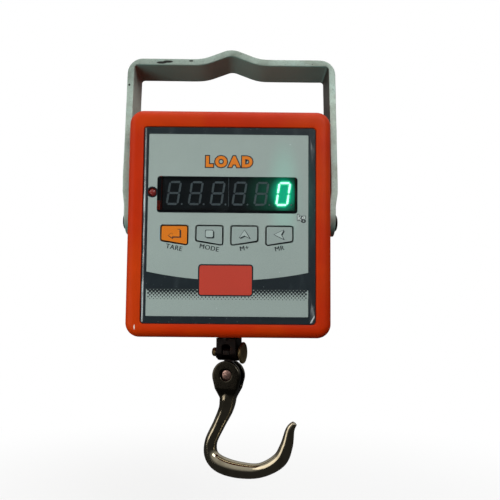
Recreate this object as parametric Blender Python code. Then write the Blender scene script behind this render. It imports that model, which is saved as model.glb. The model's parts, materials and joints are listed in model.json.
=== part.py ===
"""Electronic crane scale: a stirrup handle, a case with its electronics and load cell, and a swivel hook.

The origin is the hang point, the flat under the peak of the handle. +Z is up, the display faces -Y, and the
load line is the Z axis. Lengths are in metres.
"""

from math import acos, atan2, cos, hypot, pi, radians, sin, sqrt, tan

import bmesh
import bpy
from mathutils import Matrix, Vector

MM = 0.001

# Driving dimensions
FIT_GAP = 0.3 * MM  # between touching pieces
ROUND_STEPS = 20  # sides of a turned piece
SMALL_STEPS = 12  # sides of a small turned piece
CORNER_STEPS = 4  # sides of a rounded corner

CASE_WIDTH = 115.4 * MM
CASE_TOP = -37.3 * MM
CASE_BOTTOM = -166.7 * MM
CASE_FRONT = -29.0 * MM
CASE_BACK = 29.0 * MM
CASE_CORNER = 8.0 * MM
CASE_WALL = 2.8 * MM
FRONT_ROUND = 5.0 * MM
BACK_ROUND = 4.0 * MM
PARTING = 16.5 * MM  # depth of the joint between the two halves of the case
# The rear half has a lip along its outer edge, and the gasket lies inside the lip
LIP_WIDTH = 1.4 * MM
LIP_STEP = 1.0 * MM
RECESS_DEPTH = 1.3 * MM
RECESS_SIZE = (98.0 * MM, 111.8 * MM)
PANEL_WALL = 2.3 * MM  # the front wall behind the recess
WALL_EASE = 1.0 * MM  # slope where a wall meets the front or the back inside
THROUGH = 1.0 * MM  # how far a cutter runs past the wall it cuts

PANEL_X = -0.65 * MM  # centre of the printed panel
PANEL_Z = -103.3 * MM
OVERLAY_SIZE = (97.4 * MM, 111.2 * MM)
OVERLAY_THICK = 0.4 * MM
WINDOW = (-40.1 * MM, 39.1 * MM, 6.6 * MM, 27.2 * MM)  # left, right, bottom, top from the panel's centre
WINDOW_CORNER = 1.6 * MM

LED_SIZE = (37.6 * MM, 19.0 * MM)  # one three-digit module
LED_SEAM = (0.1 * MM, 18.05 * MM)  # from the panel's centre
LED_FACE = -26.2 * MM
PIN_PITCH = 2.54 * MM
PIN_INSET = 2.0 * MM  # the two rows of pins, from a module's lower and upper edge
LAMP_AT = (-42.9 * MM, 18.1 * MM)
LAMP_RADIUS = 2.2 * MM

KEY_PITCH = 19.7 * MM
KEY_FIRST = -30.05 * MM  # centre of the first key, from the panel's centre
KEY_WIDTH = 15.2 * MM
KEY_TOP = -0.7 * MM
KEY_SHORT_SIDE = 8.7 * MM
KEY_LONG_SIDE = 11.1 * MM
KEY_CORNER = 1.2 * MM
KEY_TRAVEL = 0.5 * MM
KEY_FLANGE = 1.2 * MM  # the pad behind a key reaches this far past it
KEYS = (("tare", "left"), ("mode", "left"), ("m_plus", "right"), ("mr", "right"))  # name and short side

BOARD_FRONT = -19.1 * MM
BOARD_THICK = 1.6 * MM
BOARD_SIZE = (96.0 * MM, 84.0 * MM)

STRAP_WIDTH = 28.0 * MM
STRAP_THICK = 4.2 * MM
HANDLE_TOP = -1.5 * MM  # top face beside the peak
PEAK_HALF = 17.0 * MM
PEAK_LAND = 4.0 * MM
HANDLE_HALF_TOP = 62.2 * MM  # outer faces
HANDLE_HALF_BOW = 63.6 * MM
HANDLE_HALF_FOOT = 62.5 * MM
JOGGLE = (-82.0 * MM, -90.0 * MM)
PIVOT_Z = -98.3 * MM
HANDLE_END = -106.6 * MM
FOOT_ROUND = 9.0 * MM
PIVOT_BOLT = 6.0 * MM
PIVOT_HEAD = 5.2 * MM  # radius of the bolt head
PIVOT_WASHER = 8.0 * MM  # radius
WASHER_SEAT = (8.6 * MM, 1.0 * MM)  # radius and depth of its recess in the case

FRAME_TOP = -49.0 * MM
FRAME_THICK = 4.0 * MM
FRAME_DEPTH = 22.0 * MM
CELL_SIZE = (51.0 * MM, 19.0 * MM, 62.0 * MM)
CELL_BORE = 8.6 * MM
CELL_BOLT = 8.0 * MM
STUD = 10.0 * MM
YOKE_SIZE = (28.0 * MM, 20.0 * MM, 30.0 * MM)
YOKE_PLATE = 6.0 * MM  # thickness of its top and bottom
THRUST_WASHER = 2.0 * MM
BUSH_RADIUS = 7.0 * MM  # of the plastic bush where the stud leaves the case
BUSH_FLANGE = 0.9 * MM

SWIVEL_REST = radians(-20)  # how far the hook and fork are turned at rest
CROSS_PIN_Z = -176.9 * MM
CROSS_PIN = 5.3 * MM
HOOK_PIN_Z = -189.9 * MM
HOOK_PIN = 6.6 * MM
FORK_WIDTH = 12.8 * MM
FORK_GAP = 5.2 * MM
FORK_DEPTH = 9.6 * MM
HOOK_EYE = 8.9 * MM  # radius of the forged head
HOOK_EYE_DROP = 0.6 * MM  # of the head's centre below the pin
HOOK_HEAD = 10.4 * MM  # thickness
HOOK_SLOT = 4.8 * MM

# Centre line of the hook below its pin: across, down, section radius
HOOK_LINE = [
    (0.4 * MM, -9.0 * MM, 4.4 * MM),
    (-0.2 * MM, -14.5 * MM, 5.0 * MM),
    (-1.6 * MM, -20.8 * MM, 4.4 * MM),
    (-5.7 * MM, -29.4 * MM, 3.8 * MM),
    (-10.8 * MM, -40.2 * MM, 3.8 * MM),
    (-10.3 * MM, -48.3 * MM, 4.3 * MM),
    (-4.2 * MM, -53.0 * MM, 4.9 * MM),
    (7.5 * MM, -55.0 * MM, 4.7 * MM),
    (20.4 * MM, -53.9 * MM, 4.1 * MM),
    (31.6 * MM, -47.4 * MM, 4.3 * MM),
    (36.0 * MM, -39.0 * MM, 3.7 * MM),
    (38.2 * MM, -29.6 * MM, 2.6 * MM),
    (40.9 * MM, -25.6 * MM, 1.6 * MM),
]
SADDLE = (13.5 * MM, -50.75 * MM)  # flat inside the bowl, from the pin

SCREW_X = 50.3 * MM  # rear cover screws
SCREW_INSET = 7.3 * MM
SCREW_CLEAR = 1.75 * MM  # radius of their holes
SCREW_SEAT = 2.5 * MM  # thickness under a screw's head
SCREW_SINK = 3.2 * MM  # radius of the counterbore

BATTERY_X = 38.5 * MM
BATTERY_Y = 13.6 * MM
BATTERY_Z = -98.0 * MM
BATTERY_RADIUS = 9.15 * MM
BATTERY_LENGTH = 65.0 * MM

SWITCH_X = -32.0 * MM
SWITCH_FLANGE = (21.2 * MM, 14.8 * MM)
SWITCH_BODY = (18.8 * MM, 12.4 * MM)
ROCKER_TILT = radians(10)  # pressed to the ON side
JACK_X = 32.0 * MM
JACK_FLANGE = 5.9 * MM  # radius
JACK_BODY = 4.0 * MM  # radius
SOCKET_FACE = 0.1 * MM  # the switch and the jack are set in by this much
SOCKET_SEAT = 1.2 * MM  # depth of their pockets


# Outlines and meshes


def rounded(points, radius, closed=True, steps=CORNER_STEPS):
    """The outline through these points with each corner turned into an arc, by one radius or one for each."""
    count = len(points)
    radii = radius if isinstance(radius, (list, tuple)) else [radius] * count
    corners = [Vector(p) for p in points]
    path = []
    for i, corner in enumerate(corners):
        if radii[i] == 0 or (not closed and i in (0, count - 1)):
            path.append(corner)
            continue
        back = (corners[i - 1] - corner).normalized()
        ahead = (corners[(i + 1) % count] - corner).normalized()
        half = acos(max(-1.0, min(1.0, back.dot(ahead)))) / 2
        centre = corner + (back + ahead).normalized() * (radii[i] / sin(half))
        start = corner + back * (radii[i] / tan(half)) - centre
        end = corner + ahead * (radii[i] / tan(half)) - centre
        turn = atan2(start.x * end.y - start.y * end.x, start.dot(end))
        for step in range(steps + 1):
            angle = turn * step / steps
            path.append(centre + Matrix.Rotation(angle, 2) @ start)
    return path


def rectangle(left, right, bottom, top):
    return [(left, bottom), (right, bottom), (right, top), (left, top)]


def centred(centre, size, grow=0.0):
    """A rectangle's corners from its centre and size, moved out all round."""
    half_w, half_h = size[0] / 2 + grow, size[1] / 2 + grow
    return rectangle(centre[0] - half_w, centre[0] + half_w, centre[1] - half_h, centre[1] + half_h)


def arc(centre, radius, start, end, steps):
    """Points on a circle from one angle to another, in degrees."""
    angles = [radians(start + (end - start) * i / steps) for i in range(steps + 1)]
    return [Vector((centre[0] + radius * cos(a), centre[1] + radius * sin(a))) for a in angles]


def circle(centre, radius, steps=ROUND_STEPS):
    return arc(centre, radius, 0, 360, steps)[:-1]


def hexagon(across_flats, centre=(0.0, 0.0)):
    return arc(centre, across_flats / sqrt(3), 30, 390, 6)[:-1]


def plus_sign(centre, reach, half):
    """The outline of a cross-head recess, with arms of this reach and half width."""
    arm = [(reach, -half), (reach, half), (half, half)]
    turned = []
    for quarter in range(4):
        turn = Matrix.Rotation(quarter * pi / 2, 2)
        turned += [turn @ Vector(point) for point in arm]
    return [(centre[0] + p.x, centre[1] + p.y) for p in turned]


def in_space(axis, point, along):
    """A point of a flat outline, set at a distance along the axis that the outline faces."""
    u, v = point
    return Vector({"X": (along, u, v), "Y": (u, along, v), "Z": (u, v, along)}[axis])


def add_loft(bm, rings, tube=False):
    """Skins rings of equal length. The ends are capped, or joined to each other for a tube."""
    made = [[bm.verts.new(point) for point in ring] for ring in rings]
    pairs = list(zip(made, made[1:]))
    if tube:
        pairs.append((made[-1], made[0]))
    else:
        bm.faces.new(made[0][::-1])
        bm.faces.new(made[-1])
    count = len(made[0])
    for first, second in pairs:
        for i in range(count):
            j = (i + 1) % count
            bm.faces.new((first[i], first[j], second[j], second[i]))


def add_prism(bm, axis, outline, start, end):
    add_loft(bm, [[in_space(axis, point, along) for point in outline] for along in (start, end)])


def add_box(bm, low, high):
    add_prism(bm, "Z", rectangle(low[0], high[0], low[1], high[1]), low[2], high[2])


def add_turned(bm, axis, centre, profile, tube=False, steps=ROUND_STEPS):
    """Turns (radius, along) pairs about an axis through centre."""
    rings = [
        [in_space(axis, point, along) for point in circle(centre, radius, steps)]
        for radius, along in profile
    ]
    add_loft(bm, rings, tube)


def add_rod(bm, axis, centre, radius, start, end, steps=SMALL_STEPS):
    add_turned(bm, axis, centre, [(radius, start), (radius, end)], steps=steps)


def add_ring(bm, axis, centre, inner, outer, start, end, steps=ROUND_STEPS):
    add_turned(bm, axis, centre, [(inner, start), (outer, start), (outer, end), (inner, end)], True, steps)


def material(name, colour, roughness, metallic=0.0):
    made = bpy.data.materials.new(name)
    made.use_nodes = True
    shader = made.node_tree.nodes["Principled BSDF"]
    shader.inputs["Base Color"].default_value = (*colour, 1.0)
    shader.inputs["Roughness"].default_value = roughness
    shader.inputs["Metallic"].default_value = metallic
    return made


def made_object(name, bm, parent=None, origin=(0.0, 0.0, 0.0)):
    """An object from the mesh, with its origin moved to the given point of its parent's space."""
    bmesh.ops.translate(bm, verts=bm.verts, vec=-Vector(origin))
    bmesh.ops.recalc_face_normals(bm, faces=bm.faces)
    mesh = bpy.data.meshes.new(name)
    bm.to_mesh(mesh)
    bm.free()
    mesh.shade_smooth()
    mesh.set_sharp_from_angle(angle=radians(35))
    made = bpy.data.objects.new(name, mesh)
    made.location = origin
    made.parent = parent
    bpy.context.scene.collection.objects.link(made)
    return made


def part(name, bm, finish, parent=None, origin=(0.0, 0.0, 0.0)):
    made = made_object(name, bm, parent, origin)
    made.data.materials.append(FINISH[finish])
    return made


def combine(target, bm, operation, crossing):
    """Joins the mesh to the target or cuts it away, through a hidden helper. Its bodies may be crossing."""
    helper = made_object(f"{target.name}.{operation.lower()}", bm, target.parent)
    helper.hide_render = True
    helper.display_type = "WIRE"
    change = target.modifiers.new(operation.title(), "BOOLEAN")
    change.operation = operation
    change.solver = "EXACT"
    change.use_self = crossing
    change.object = helper


def cut(target, bm, crossing=False):
    combine(target, bm, "DIFFERENCE", crossing)


def join(target, bm, crossing=False):
    combine(target, bm, "UNION", crossing)


def axis_empty(name, location, turn=0.0, parent=None):
    made = bpy.data.objects.new(name, None)
    made.location = location
    made.rotation_euler.z = turn
    made.parent = parent
    bpy.context.scene.collection.objects.link(made)
    return made


# The case


def case_ring(inset, depth, corner_floor=0.5 * MM):
    """The case's outline, moved in from its outer face and set at a depth."""
    half = CASE_WIDTH / 2 - inset
    box = rectangle(-half, half, CASE_BOTTOM + inset, CASE_TOP - inset)
    outline = rounded(box, max(CASE_CORNER - inset, corner_floor))
    return [in_space("Y", point, depth) for point in outline]


def recess_ring(size, depth, corner=2.0 * MM):
    box = rectangle(-size[0] / 2, size[0] / 2, PANEL_Z - size[1] / 2, PANEL_Z + size[1] / 2)
    return [in_space("Y", point, depth) for point in rounded(box, corner)]


def rounded_edge(face, depth_sign, radius):
    """Rings that round the case's edge over to the face at this depth."""
    rings = []
    for step in range(CORNER_STEPS + 1):
        angle = pi / 2 * step / CORNER_STEPS
        inset = radius * (1 - cos(angle))
        depth = face - depth_sign * radius * (1 - sin(angle))
        rings.append(case_ring(inset, depth))
    return rings


def key_outline(index, grow=0.0):
    """A key's outline, with one side shorter than the other, grown all round."""
    left = PANEL_X + KEY_FIRST + KEY_PITCH * index - KEY_WIDTH / 2 - grow
    right = left + KEY_WIDTH + 2 * grow
    top = PANEL_Z + KEY_TOP + grow
    drops = (KEY_SHORT_SIDE, KEY_LONG_SIDE)
    if KEYS[index][1] == "right":
        drops = (KEY_LONG_SIDE, KEY_SHORT_SIDE)
    low_left = top - drops[0] - 2 * grow
    low_right = top - drops[1] - 2 * grow
    return rounded([(left, low_left), (right, low_right), (right, top), (left, top)], KEY_CORNER + grow)


def key_centre(index):
    mean_side = (KEY_SHORT_SIDE + KEY_LONG_SIDE) / 2
    return PANEL_X + KEY_FIRST + KEY_PITCH * index, PANEL_Z + KEY_TOP - mean_side / 2


def window_outline(shrink=0.0):
    left, right, bottom, top = WINDOW
    low = (PANEL_X + left + shrink, PANEL_Z + bottom + shrink)
    high = (PANEL_X + right - shrink, PANEL_Z + top - shrink)
    return rounded(rectangle(low[0], high[0], low[1], high[1]), WINDOW_CORNER)


def led_box(grow=0.0):
    """Left, right, bottom and top of the two display modules together."""
    seam = PANEL_X + LED_SEAM[0]
    middle = PANEL_Z + LED_SEAM[1]
    half = LED_SIZE[0] + grow
    return seam - half, seam + half, middle - LED_SIZE[1] / 2 - grow, middle + LED_SIZE[1] / 2 + grow


def lamp_centre():
    return PANEL_X + LAMP_AT[0], PANEL_Z + LAMP_AT[1]


def screw_places():
    heights = (CASE_BOTTOM + SCREW_INSET, CASE_TOP - SCREW_INSET)
    return [(x, z) for x in (-SCREW_X, SCREW_X) for z in heights]


def stake_places():
    inset = 4 * MM
    half = (BOARD_SIZE[0] / 2 - inset, BOARD_SIZE[1] / 2 - inset)
    return [(x, PANEL_Z + z) for x in (-half[0], half[0]) for z in (-half[1], half[1])]


def front_case():
    floor = CASE_FRONT + RECESS_DEPTH
    inner_face = floor + PANEL_WALL
    rings = [
        case_ring(CASE_WALL + WALL_EASE, inner_face),
        case_ring(CASE_WALL, inner_face + WALL_EASE),
        case_ring(CASE_WALL, PARTING),
        case_ring(0.0, PARTING),
        *rounded_edge(CASE_FRONT, -1, FRONT_ROUND),
        recess_ring(RECESS_SIZE, CASE_FRONT),
        recess_ring(RECESS_SIZE, floor),
    ]
    bm = bmesh.new()
    add_loft(bm, rings)
    shell = part("front_case", bm, "case")

    posts = bmesh.new()
    wall = inner_face - 0.5 * MM
    for place in screw_places():
        post = [(4.2 * MM, wall), (4.0 * MM, PARTING - 0.2 * MM)]
        add_turned(posts, "Y", place, post, steps=SMALL_STEPS)
    board_back = BOARD_FRONT + BOARD_THICK
    for place in stake_places():
        stake = [
            (2.5 * MM, wall),
            (2.5 * MM, BOARD_FRONT - FIT_GAP),
            (1.3 * MM, BOARD_FRONT - FIT_GAP),
            (1.3 * MM, board_back + FIT_GAP),
            (2.2 * MM, board_back + FIT_GAP),
            (1.4 * MM, board_back + 1.1 * MM),
        ]
        add_turned(posts, "Y", place, stake, steps=SMALL_STEPS)
    join(shell, posts)

    openings = bmesh.new()
    before, behind = CASE_FRONT - THROUGH, inner_face + THROUGH
    for index in range(len(KEYS)):
        add_prism(openings, "Y", key_outline(index, FIT_GAP), before, behind)
    left, right, bottom, top = led_box(0.35 * MM)
    add_prism(openings, "Y", rectangle(left, right, bottom, top), before, behind)
    add_rod(openings, "Y", lamp_centre(), LAMP_RADIUS + FIT_GAP, before, behind)
    for place in screw_places():
        add_rod(openings, "Y", place, SCREW_CLEAR, 4 * MM, PARTING + THROUGH)
    half = CASE_WIDTH / 2
    for side in (-1, 1):
        outside, inside = side * (half + THROUGH), side * (half - CASE_WALL - THROUGH)
        wide, seat = WASHER_SEAT[0], side * (half - WASHER_SEAT[1])
        hole = PIVOT_BOLT / 2 + FIT_GAP
        profile = [(wide, outside), (wide, seat), (hole, seat), (hole, inside)]
        add_turned(openings, "X", (0.0, PIVOT_Z), profile)
    below, inside = CASE_BOTTOM - THROUGH, CASE_BOTTOM + CASE_WALL + THROUGH
    add_rod(openings, "Z", (0.0, 0.0), BUSH_RADIUS + FIT_GAP, below, inside, ROUND_STEPS)
    deep = CASE_BOTTOM + SOCKET_SEAT
    pocket = centred((SWITCH_X, 0.0), SWITCH_FLANGE, 0.4 * MM)
    add_prism(openings, "Z", rounded(pocket, 1.5 * MM), below, deep)
    flange, hole = JACK_FLANGE + FIT_GAP, JACK_BODY + FIT_GAP
    add_turned(openings, "Z", (JACK_X, 0.0), [(flange, below), (flange, deep), (hole, deep), (hole, inside)])
    cut(shell, openings)

    slot = bmesh.new()
    add_prism(slot, "Z", centred((SWITCH_X, 0.0), SWITCH_BODY, 0.4 * MM), below - THROUGH, inside)
    cut(shell, slot)


def rear_case():
    lip = PARTING + FIT_GAP
    step = lip + LIP_STEP
    inner_face = CASE_BACK - CASE_WALL
    rings = [
        case_ring(CASE_WALL + WALL_EASE, inner_face),
        case_ring(CASE_WALL, inner_face - WALL_EASE),
        case_ring(CASE_WALL, step),
        case_ring(LIP_WIDTH, step),
        case_ring(LIP_WIDTH, lip),
        case_ring(0.0, lip),
        *rounded_edge(CASE_BACK, 1, BACK_ROUND),
    ]
    bm = bmesh.new()
    add_loft(bm, rings)
    shell = part("rear_case", bm, "case")
    pillars = bmesh.new()
    for place in screw_places():
        add_rod(pillars, "Y", place, 4.4 * MM, step, inner_face + 0.5 * MM)
    join(shell, pillars)
    holes = bmesh.new()
    head_seat = step + SCREW_SEAT
    for place in screw_places():
        profile = [
            (SCREW_CLEAR, step - THROUGH),
            (SCREW_CLEAR, head_seat),
            (SCREW_SINK, head_seat),
            (SCREW_SINK, CASE_BACK + THROUGH),
        ]
        add_turned(holes, "Y", place, profile, steps=SMALL_STEPS)
    cut(shell, holes)


def case_gasket():
    front, back = PARTING + FIT_GAP, PARTING + LIP_STEP
    outer, inner = LIP_WIDTH + FIT_GAP, CASE_WALL - 0.2 * MM
    section = [(outer, front), (outer, back), (inner, back), (inner, front)]
    bm = bmesh.new()
    add_loft(bm, [case_ring(inset, depth) for inset, depth in section], tube=True)
    part("case_gasket", bm, "rubber")


def rear_screws():
    seat = PARTING + FIT_GAP + LIP_STEP + SCREW_SEAT
    for number, place in enumerate(screw_places(), start=1):
        bm = bmesh.new()
        profile = [
            (1.0 * MM, 5.0 * MM),
            (1.45 * MM, 6.0 * MM),
            (1.45 * MM, seat + FIT_GAP),
            (2.8 * MM, seat + FIT_GAP),
            (2.8 * MM, seat + 1.6 * MM),
            (2.0 * MM, seat + 2.3 * MM),
        ]
        add_turned(bm, "Y", place, profile, steps=SMALL_STEPS)
        screw = part(f"rear_screw_{number}", bm, "zinc")
        drive = bmesh.new()
        add_prism(drive, "Y", plus_sign(place, 1.6 * MM, 0.35 * MM), seat + 1.2 * MM, seat + 3.0 * MM)
        cut(screw, drive)


# The front panel and the electronics


def graphic_overlay():
    back = CASE_FRONT + RECESS_DEPTH - FIT_GAP
    bm = bmesh.new()
    add_loft(bm, [recess_ring(OVERLAY_SIZE, back), recess_ring(OVERLAY_SIZE, back - OVERLAY_THICK)])
    sheet = part("graphic_overlay", bm, "print")
    holes = bmesh.new()
    span = (back - 2 * MM, back + 2 * MM)
    add_prism(holes, "Y", window_outline(), *span)
    for index in range(len(KEYS)):
        add_prism(holes, "Y", key_outline(index, FIT_GAP), *span)
    add_rod(holes, "Y", lamp_centre(), LAMP_RADIUS + FIT_GAP, *span)
    cut(sheet, holes)


def display_window():
    back = CASE_FRONT + RECESS_DEPTH - FIT_GAP
    bm = bmesh.new()
    add_prism(bm, "Y", window_outline(FIT_GAP), back - OVERLAY_THICK, back)
    pane = part("display_window", bm, "clear")
    notch = bmesh.new()
    add_rod(notch, "Y", lamp_centre(), LAMP_RADIUS + 2 * FIT_GAP, back - 2 * MM, back + 2 * MM)
    cut(pane, notch)


def led_modules():
    left, right, bottom, top = led_box()
    seam = (left + right) / 2
    gap = 0.15 * MM
    for name, low, high in (("left", left, seam - gap), ("right", seam + gap, right)):
        bm = bmesh.new()
        add_box(bm, (low, LED_FACE, bottom), (high, BOARD_FRONT - FIT_GAP, top))
        module = part(f"led_module_{name}", bm, "led_case")
        pins = bmesh.new()
        half = 0.25 * MM
        start, end = BOARD_FRONT - THROUGH, BOARD_FRONT + BOARD_THICK + THROUGH
        for row in (bottom + PIN_INSET, top - PIN_INSET):
            for number in range(6):
                x = (low + high) / 2 + (number - 2.5) * PIN_PITCH
                add_box(pins, (x - half, start, row - half), (x + half, end, row + half))
        join(module, pins)


def charge_lamp():
    x, z = lamp_centre()
    front = CASE_FRONT + RECESS_DEPTH - FIT_GAP - OVERLAY_THICK
    profile = [(1.0 * MM, front), (1.9 * MM, front + 0.5 * MM), (LAMP_RADIUS, front + 1.4 * MM)]
    profile.append((LAMP_RADIUS, BOARD_FRONT - FIT_GAP))
    bm = bmesh.new()
    add_turned(bm, "Y", (x, z), profile, steps=SMALL_STEPS)
    part("charge_lamp", bm, "lamp")


def main_board():
    bm = bmesh.new()
    half = BOARD_SIZE[0] / 2
    low, high = PANEL_Z - BOARD_SIZE[1] / 2, PANEL_Z + BOARD_SIZE[1] / 2
    outline = rounded(rectangle(-half, half, low, high), 2 * MM)
    add_prism(bm, "Y", outline, BOARD_FRONT, BOARD_FRONT + BOARD_THICK)
    board = part("main_board", bm, "board")
    holes = bmesh.new()
    span = (BOARD_FRONT - THROUGH, BOARD_FRONT + BOARD_THICK + THROUGH)
    for place in stake_places():
        add_rod(holes, "Y", place, 1.6 * MM, *span)
    left, right, bottom, top = led_box()
    for row in (bottom + PIN_INSET, top - PIN_INSET):
        for centre in ((left * 3 + right) / 4, (left + right * 3) / 4):
            add_prism(holes, "Y", centred((centre, row), (15.0 * MM, 1.2 * MM)), *span)
    cut(board, holes)


def board_chips():
    """The chips, connectors and capacitor on the back of the board, and the buzzer on its front."""
    back = BOARD_FRONT + BOARD_THICK + FIT_GAP
    # left, bottom, width, height, thickness
    packages = {
        "controller_chip": (-12 * MM, -130 * MM, 14 * MM, 10 * MM, 1.6 * MM, "chip"),
        "converter_chip": (12 * MM, -128 * MM, 10 * MM, 6 * MM, 1.6 * MM, "chip"),
        "load_cell_connector": (-36 * MM, -124 * MM, 12.5 * MM, 5 * MM, 5.5 * MM, "connector"),
        "battery_connector": (30 * MM, -140 * MM, 7.5 * MM, 5 * MM, 5.5 * MM, "connector"),
    }
    for name, (left, bottom, width, height, thick, finish) in packages.items():
        bm = bmesh.new()
        low = (left, back, bottom)
        high = (left + width, back + thick, bottom + height)
        add_box(bm, low, high)
        package = part(name, bm, finish)
        if finish == "connector":
            cavity = bmesh.new()
            rim = 0.8 * MM
            add_box(
                cavity,
                (low[0] + rim, back + 1.2 * MM, low[2] + rim),
                (high[0] - rim, high[1] + 1 * MM, high[2] - rim),
            )
            cut(package, cavity)
        else:
            package.modifiers.new("Edge", "BEVEL").width = 0.2 * MM

    bm = bmesh.new()
    can = [
        (2.9 * MM, back),
        (3.15 * MM, back + 0.6 * MM),
        (3.15 * MM, back + 5.0 * MM),
        (2.7 * MM, back + 5.4 * MM),
    ]
    add_turned(bm, "Y", (38 * MM, -126 * MM), can, steps=SMALL_STEPS)
    part("capacitor", bm, "can")

    bm = bmesh.new()
    front = BOARD_FRONT - FIT_GAP
    sounder = [
        (0.9 * MM, front - 1.5 * MM),
        (0.9 * MM, front - 5.3 * MM),
        (5.6 * MM, front - 5.3 * MM),
        (6.0 * MM, front - 4.9 * MM),
        (6.0 * MM, front),
    ]
    add_turned(bm, "Y", (34 * MM, -134 * MM), sounder, steps=SMALL_STEPS)
    part("buzzer", bm, "chip")


def keys_and_switches():
    overlay_face = CASE_FRONT + RECESS_DEPTH - FIT_GAP - OVERLAY_THICK
    key_face = overlay_face - 0.15 * MM
    flange = CASE_FRONT + RECESS_DEPTH + PANEL_WALL + FIT_GAP
    key_back = flange + 1.0 * MM
    button_front = key_back + FIT_GAP
    switch_front = button_front + 1.1 * MM
    switch_back = BOARD_FRONT - FIT_GAP
    button_back = switch_back - 1.7 * MM
    for index, (name, _) in enumerate(KEYS):
        centre = key_centre(index)
        origin = (centre[0], key_back, centre[1])
        bm = bmesh.new()
        add_prism(bm, "Y", key_outline(index), key_face, flange + 0.4 * MM)
        key = part(f"key_{name}", bm, "key_orange" if index == 0 else "key_grey", origin=origin)
        pad = bmesh.new()
        add_prism(pad, "Y", key_outline(index, KEY_FLANGE), flange, key_back)
        join(key, pad)

        bm = bmesh.new()
        stem = [(1.5 * MM, button_front), (1.7 * MM, button_front + 0.2 * MM), (1.7 * MM, button_back)]
        add_turned(bm, "Y", centre, stem, steps=SMALL_STEPS)
        part(f"switch_button_{name}", bm, "chip", origin=origin)

        bm = bmesh.new()
        box = centred(centre, (6.0 * MM, 6.0 * MM))
        add_prism(bm, "Y", rounded(box, 0.6 * MM, steps=2), switch_front, switch_back)
        body = part(f"key_switch_{name}", bm, "steel")
        bore = bmesh.new()
        well = button_back + KEY_TRAVEL + FIT_GAP
        add_rod(bore, "Y", centre, 2.0 * MM, switch_front - THROUGH, well)
        cut(body, bore)


def batteries():
    bottom, top = BATTERY_Z - BATTERY_LENGTH / 2, BATTERY_Z + BATTERY_LENGTH / 2
    reach = BATTERY_RADIUS + FIT_GAP
    wall = 1.5 * MM
    base = BATTERY_Y + reach
    for name, x in (("left", -BATTERY_X), ("right", BATTERY_X)):
        bm = bmesh.new()
        cell = [
            (8.4 * MM, bottom),
            (BATTERY_RADIUS, bottom + 0.7 * MM),
            (BATTERY_RADIUS, top - 1.6 * MM),
            (8.0 * MM, top - 0.8 * MM),
            (3.0 * MM, top - 0.8 * MM),
            (2.8 * MM, top),
        ]
        add_turned(bm, "Z", (x, BATTERY_Y), cell)
        part(f"battery_cell_{name}", bm, "battery")

        bm = bmesh.new()
        half = reach + wall
        past = 3.5 * MM  # room for the contact springs
        low = (x - half, BATTERY_Y, bottom - past - wall)
        high = (x + half, base + 2.2 * MM, top + past + wall)
        add_box(bm, low, high)
        holder = part(f"battery_holder_{name}", bm, "black_plastic")
        tray = bmesh.new()
        add_box(tray, (x - reach, BATTERY_Y - THROUGH, bottom - past), (x + reach, base, top + past))
        cut(holder, tray)


def power_switch():
    face = CASE_BOTTOM + SOCKET_FACE
    seat = CASE_BOTTOM + SOCKET_SEAT - FIT_GAP
    back = face + 15 * MM
    bm = bmesh.new()
    middle = (SWITCH_X, 0.0)
    add_prism(bm, "Z", rounded(centred(middle, SWITCH_FLANGE), 1.2 * MM), face, seat)
    housing = part("switch_housing", bm, "black_plastic")
    body = bmesh.new()
    add_prism(body, "Z", centred(middle, SWITCH_BODY), seat - 0.4 * MM, back)
    for x in (SWITCH_X - 4.5 * MM, SWITCH_X + 4.5 * MM):
        add_box(body, (x - 0.4 * MM, -2.4 * MM, back - 1 * MM), (x + 0.4 * MM, 2.4 * MM, back + 6 * MM))
    join(housing, body)
    well = bmesh.new()
    add_prism(well, "Z", centred(middle, (15.6 * MM, 10.0 * MM)), face - THROUGH, face + 8 * MM)
    cut(housing, well)

    pivot = (SWITCH_X, 0.0, face + 4.0 * MM)
    bm = bmesh.new()
    half, dip = 6.6 * MM, 0.2 * MM
    outline = [
        (SWITCH_X - half, face - dip),
        (SWITCH_X, face + 0.5 * MM),
        (SWITCH_X + half, face - dip),
        (SWITCH_X + half - 0.4 * MM, face + 1.8 * MM),
        (SWITCH_X + 2.4 * MM, face + 5.8 * MM),
        (SWITCH_X - 2.4 * MM, face + 5.8 * MM),
        (SWITCH_X - half + 0.4 * MM, face + 1.8 * MM),
    ]
    add_prism(bm, "Y", outline, -4.6 * MM, 4.6 * MM)
    rocker = part("power_rocker", bm, "red_plastic", origin=pivot)
    rocker.rotation_euler.y = ROCKER_TILT


def charging_jack():
    face = CASE_BOTTOM + SOCKET_FACE
    seat = CASE_BOTTOM + SOCKET_SEAT - FIT_GAP
    deep, back = face + 9 * MM, face + 12 * MM
    mouth, rear_hole = 2.8 * MM, 1.6 * MM
    bm = bmesh.new()
    profile = [
        (mouth, face),
        (JACK_FLANGE - 0.2 * MM, face),
        (JACK_FLANGE, face + 0.2 * MM),
        (JACK_FLANGE, seat),
        (JACK_BODY, seat),
        (JACK_BODY, back),
        (rear_hole, back),
        (rear_hole, deep),
        (mouth, deep),
    ]
    add_turned(bm, "Z", (JACK_X, 0.0), profile, tube=True)
    part("charging_jack", bm, "black_plastic")

    bm = bmesh.new()
    low = CASE_BOTTOM + CASE_WALL + FIT_GAP
    high = low + 2.0 * MM
    add_prism(bm, "Z", hexagon(11.0 * MM, (JACK_X, 0.0)), low, high)
    nut = part("charging_jack_nut", bm, "zinc")
    bore = bmesh.new()
    add_rod(bore, "Z", (JACK_X, 0.0), JACK_BODY + FIT_GAP, low - THROUGH, high + THROUGH)
    cut(nut, bore)


# The load path inside the case


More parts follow.
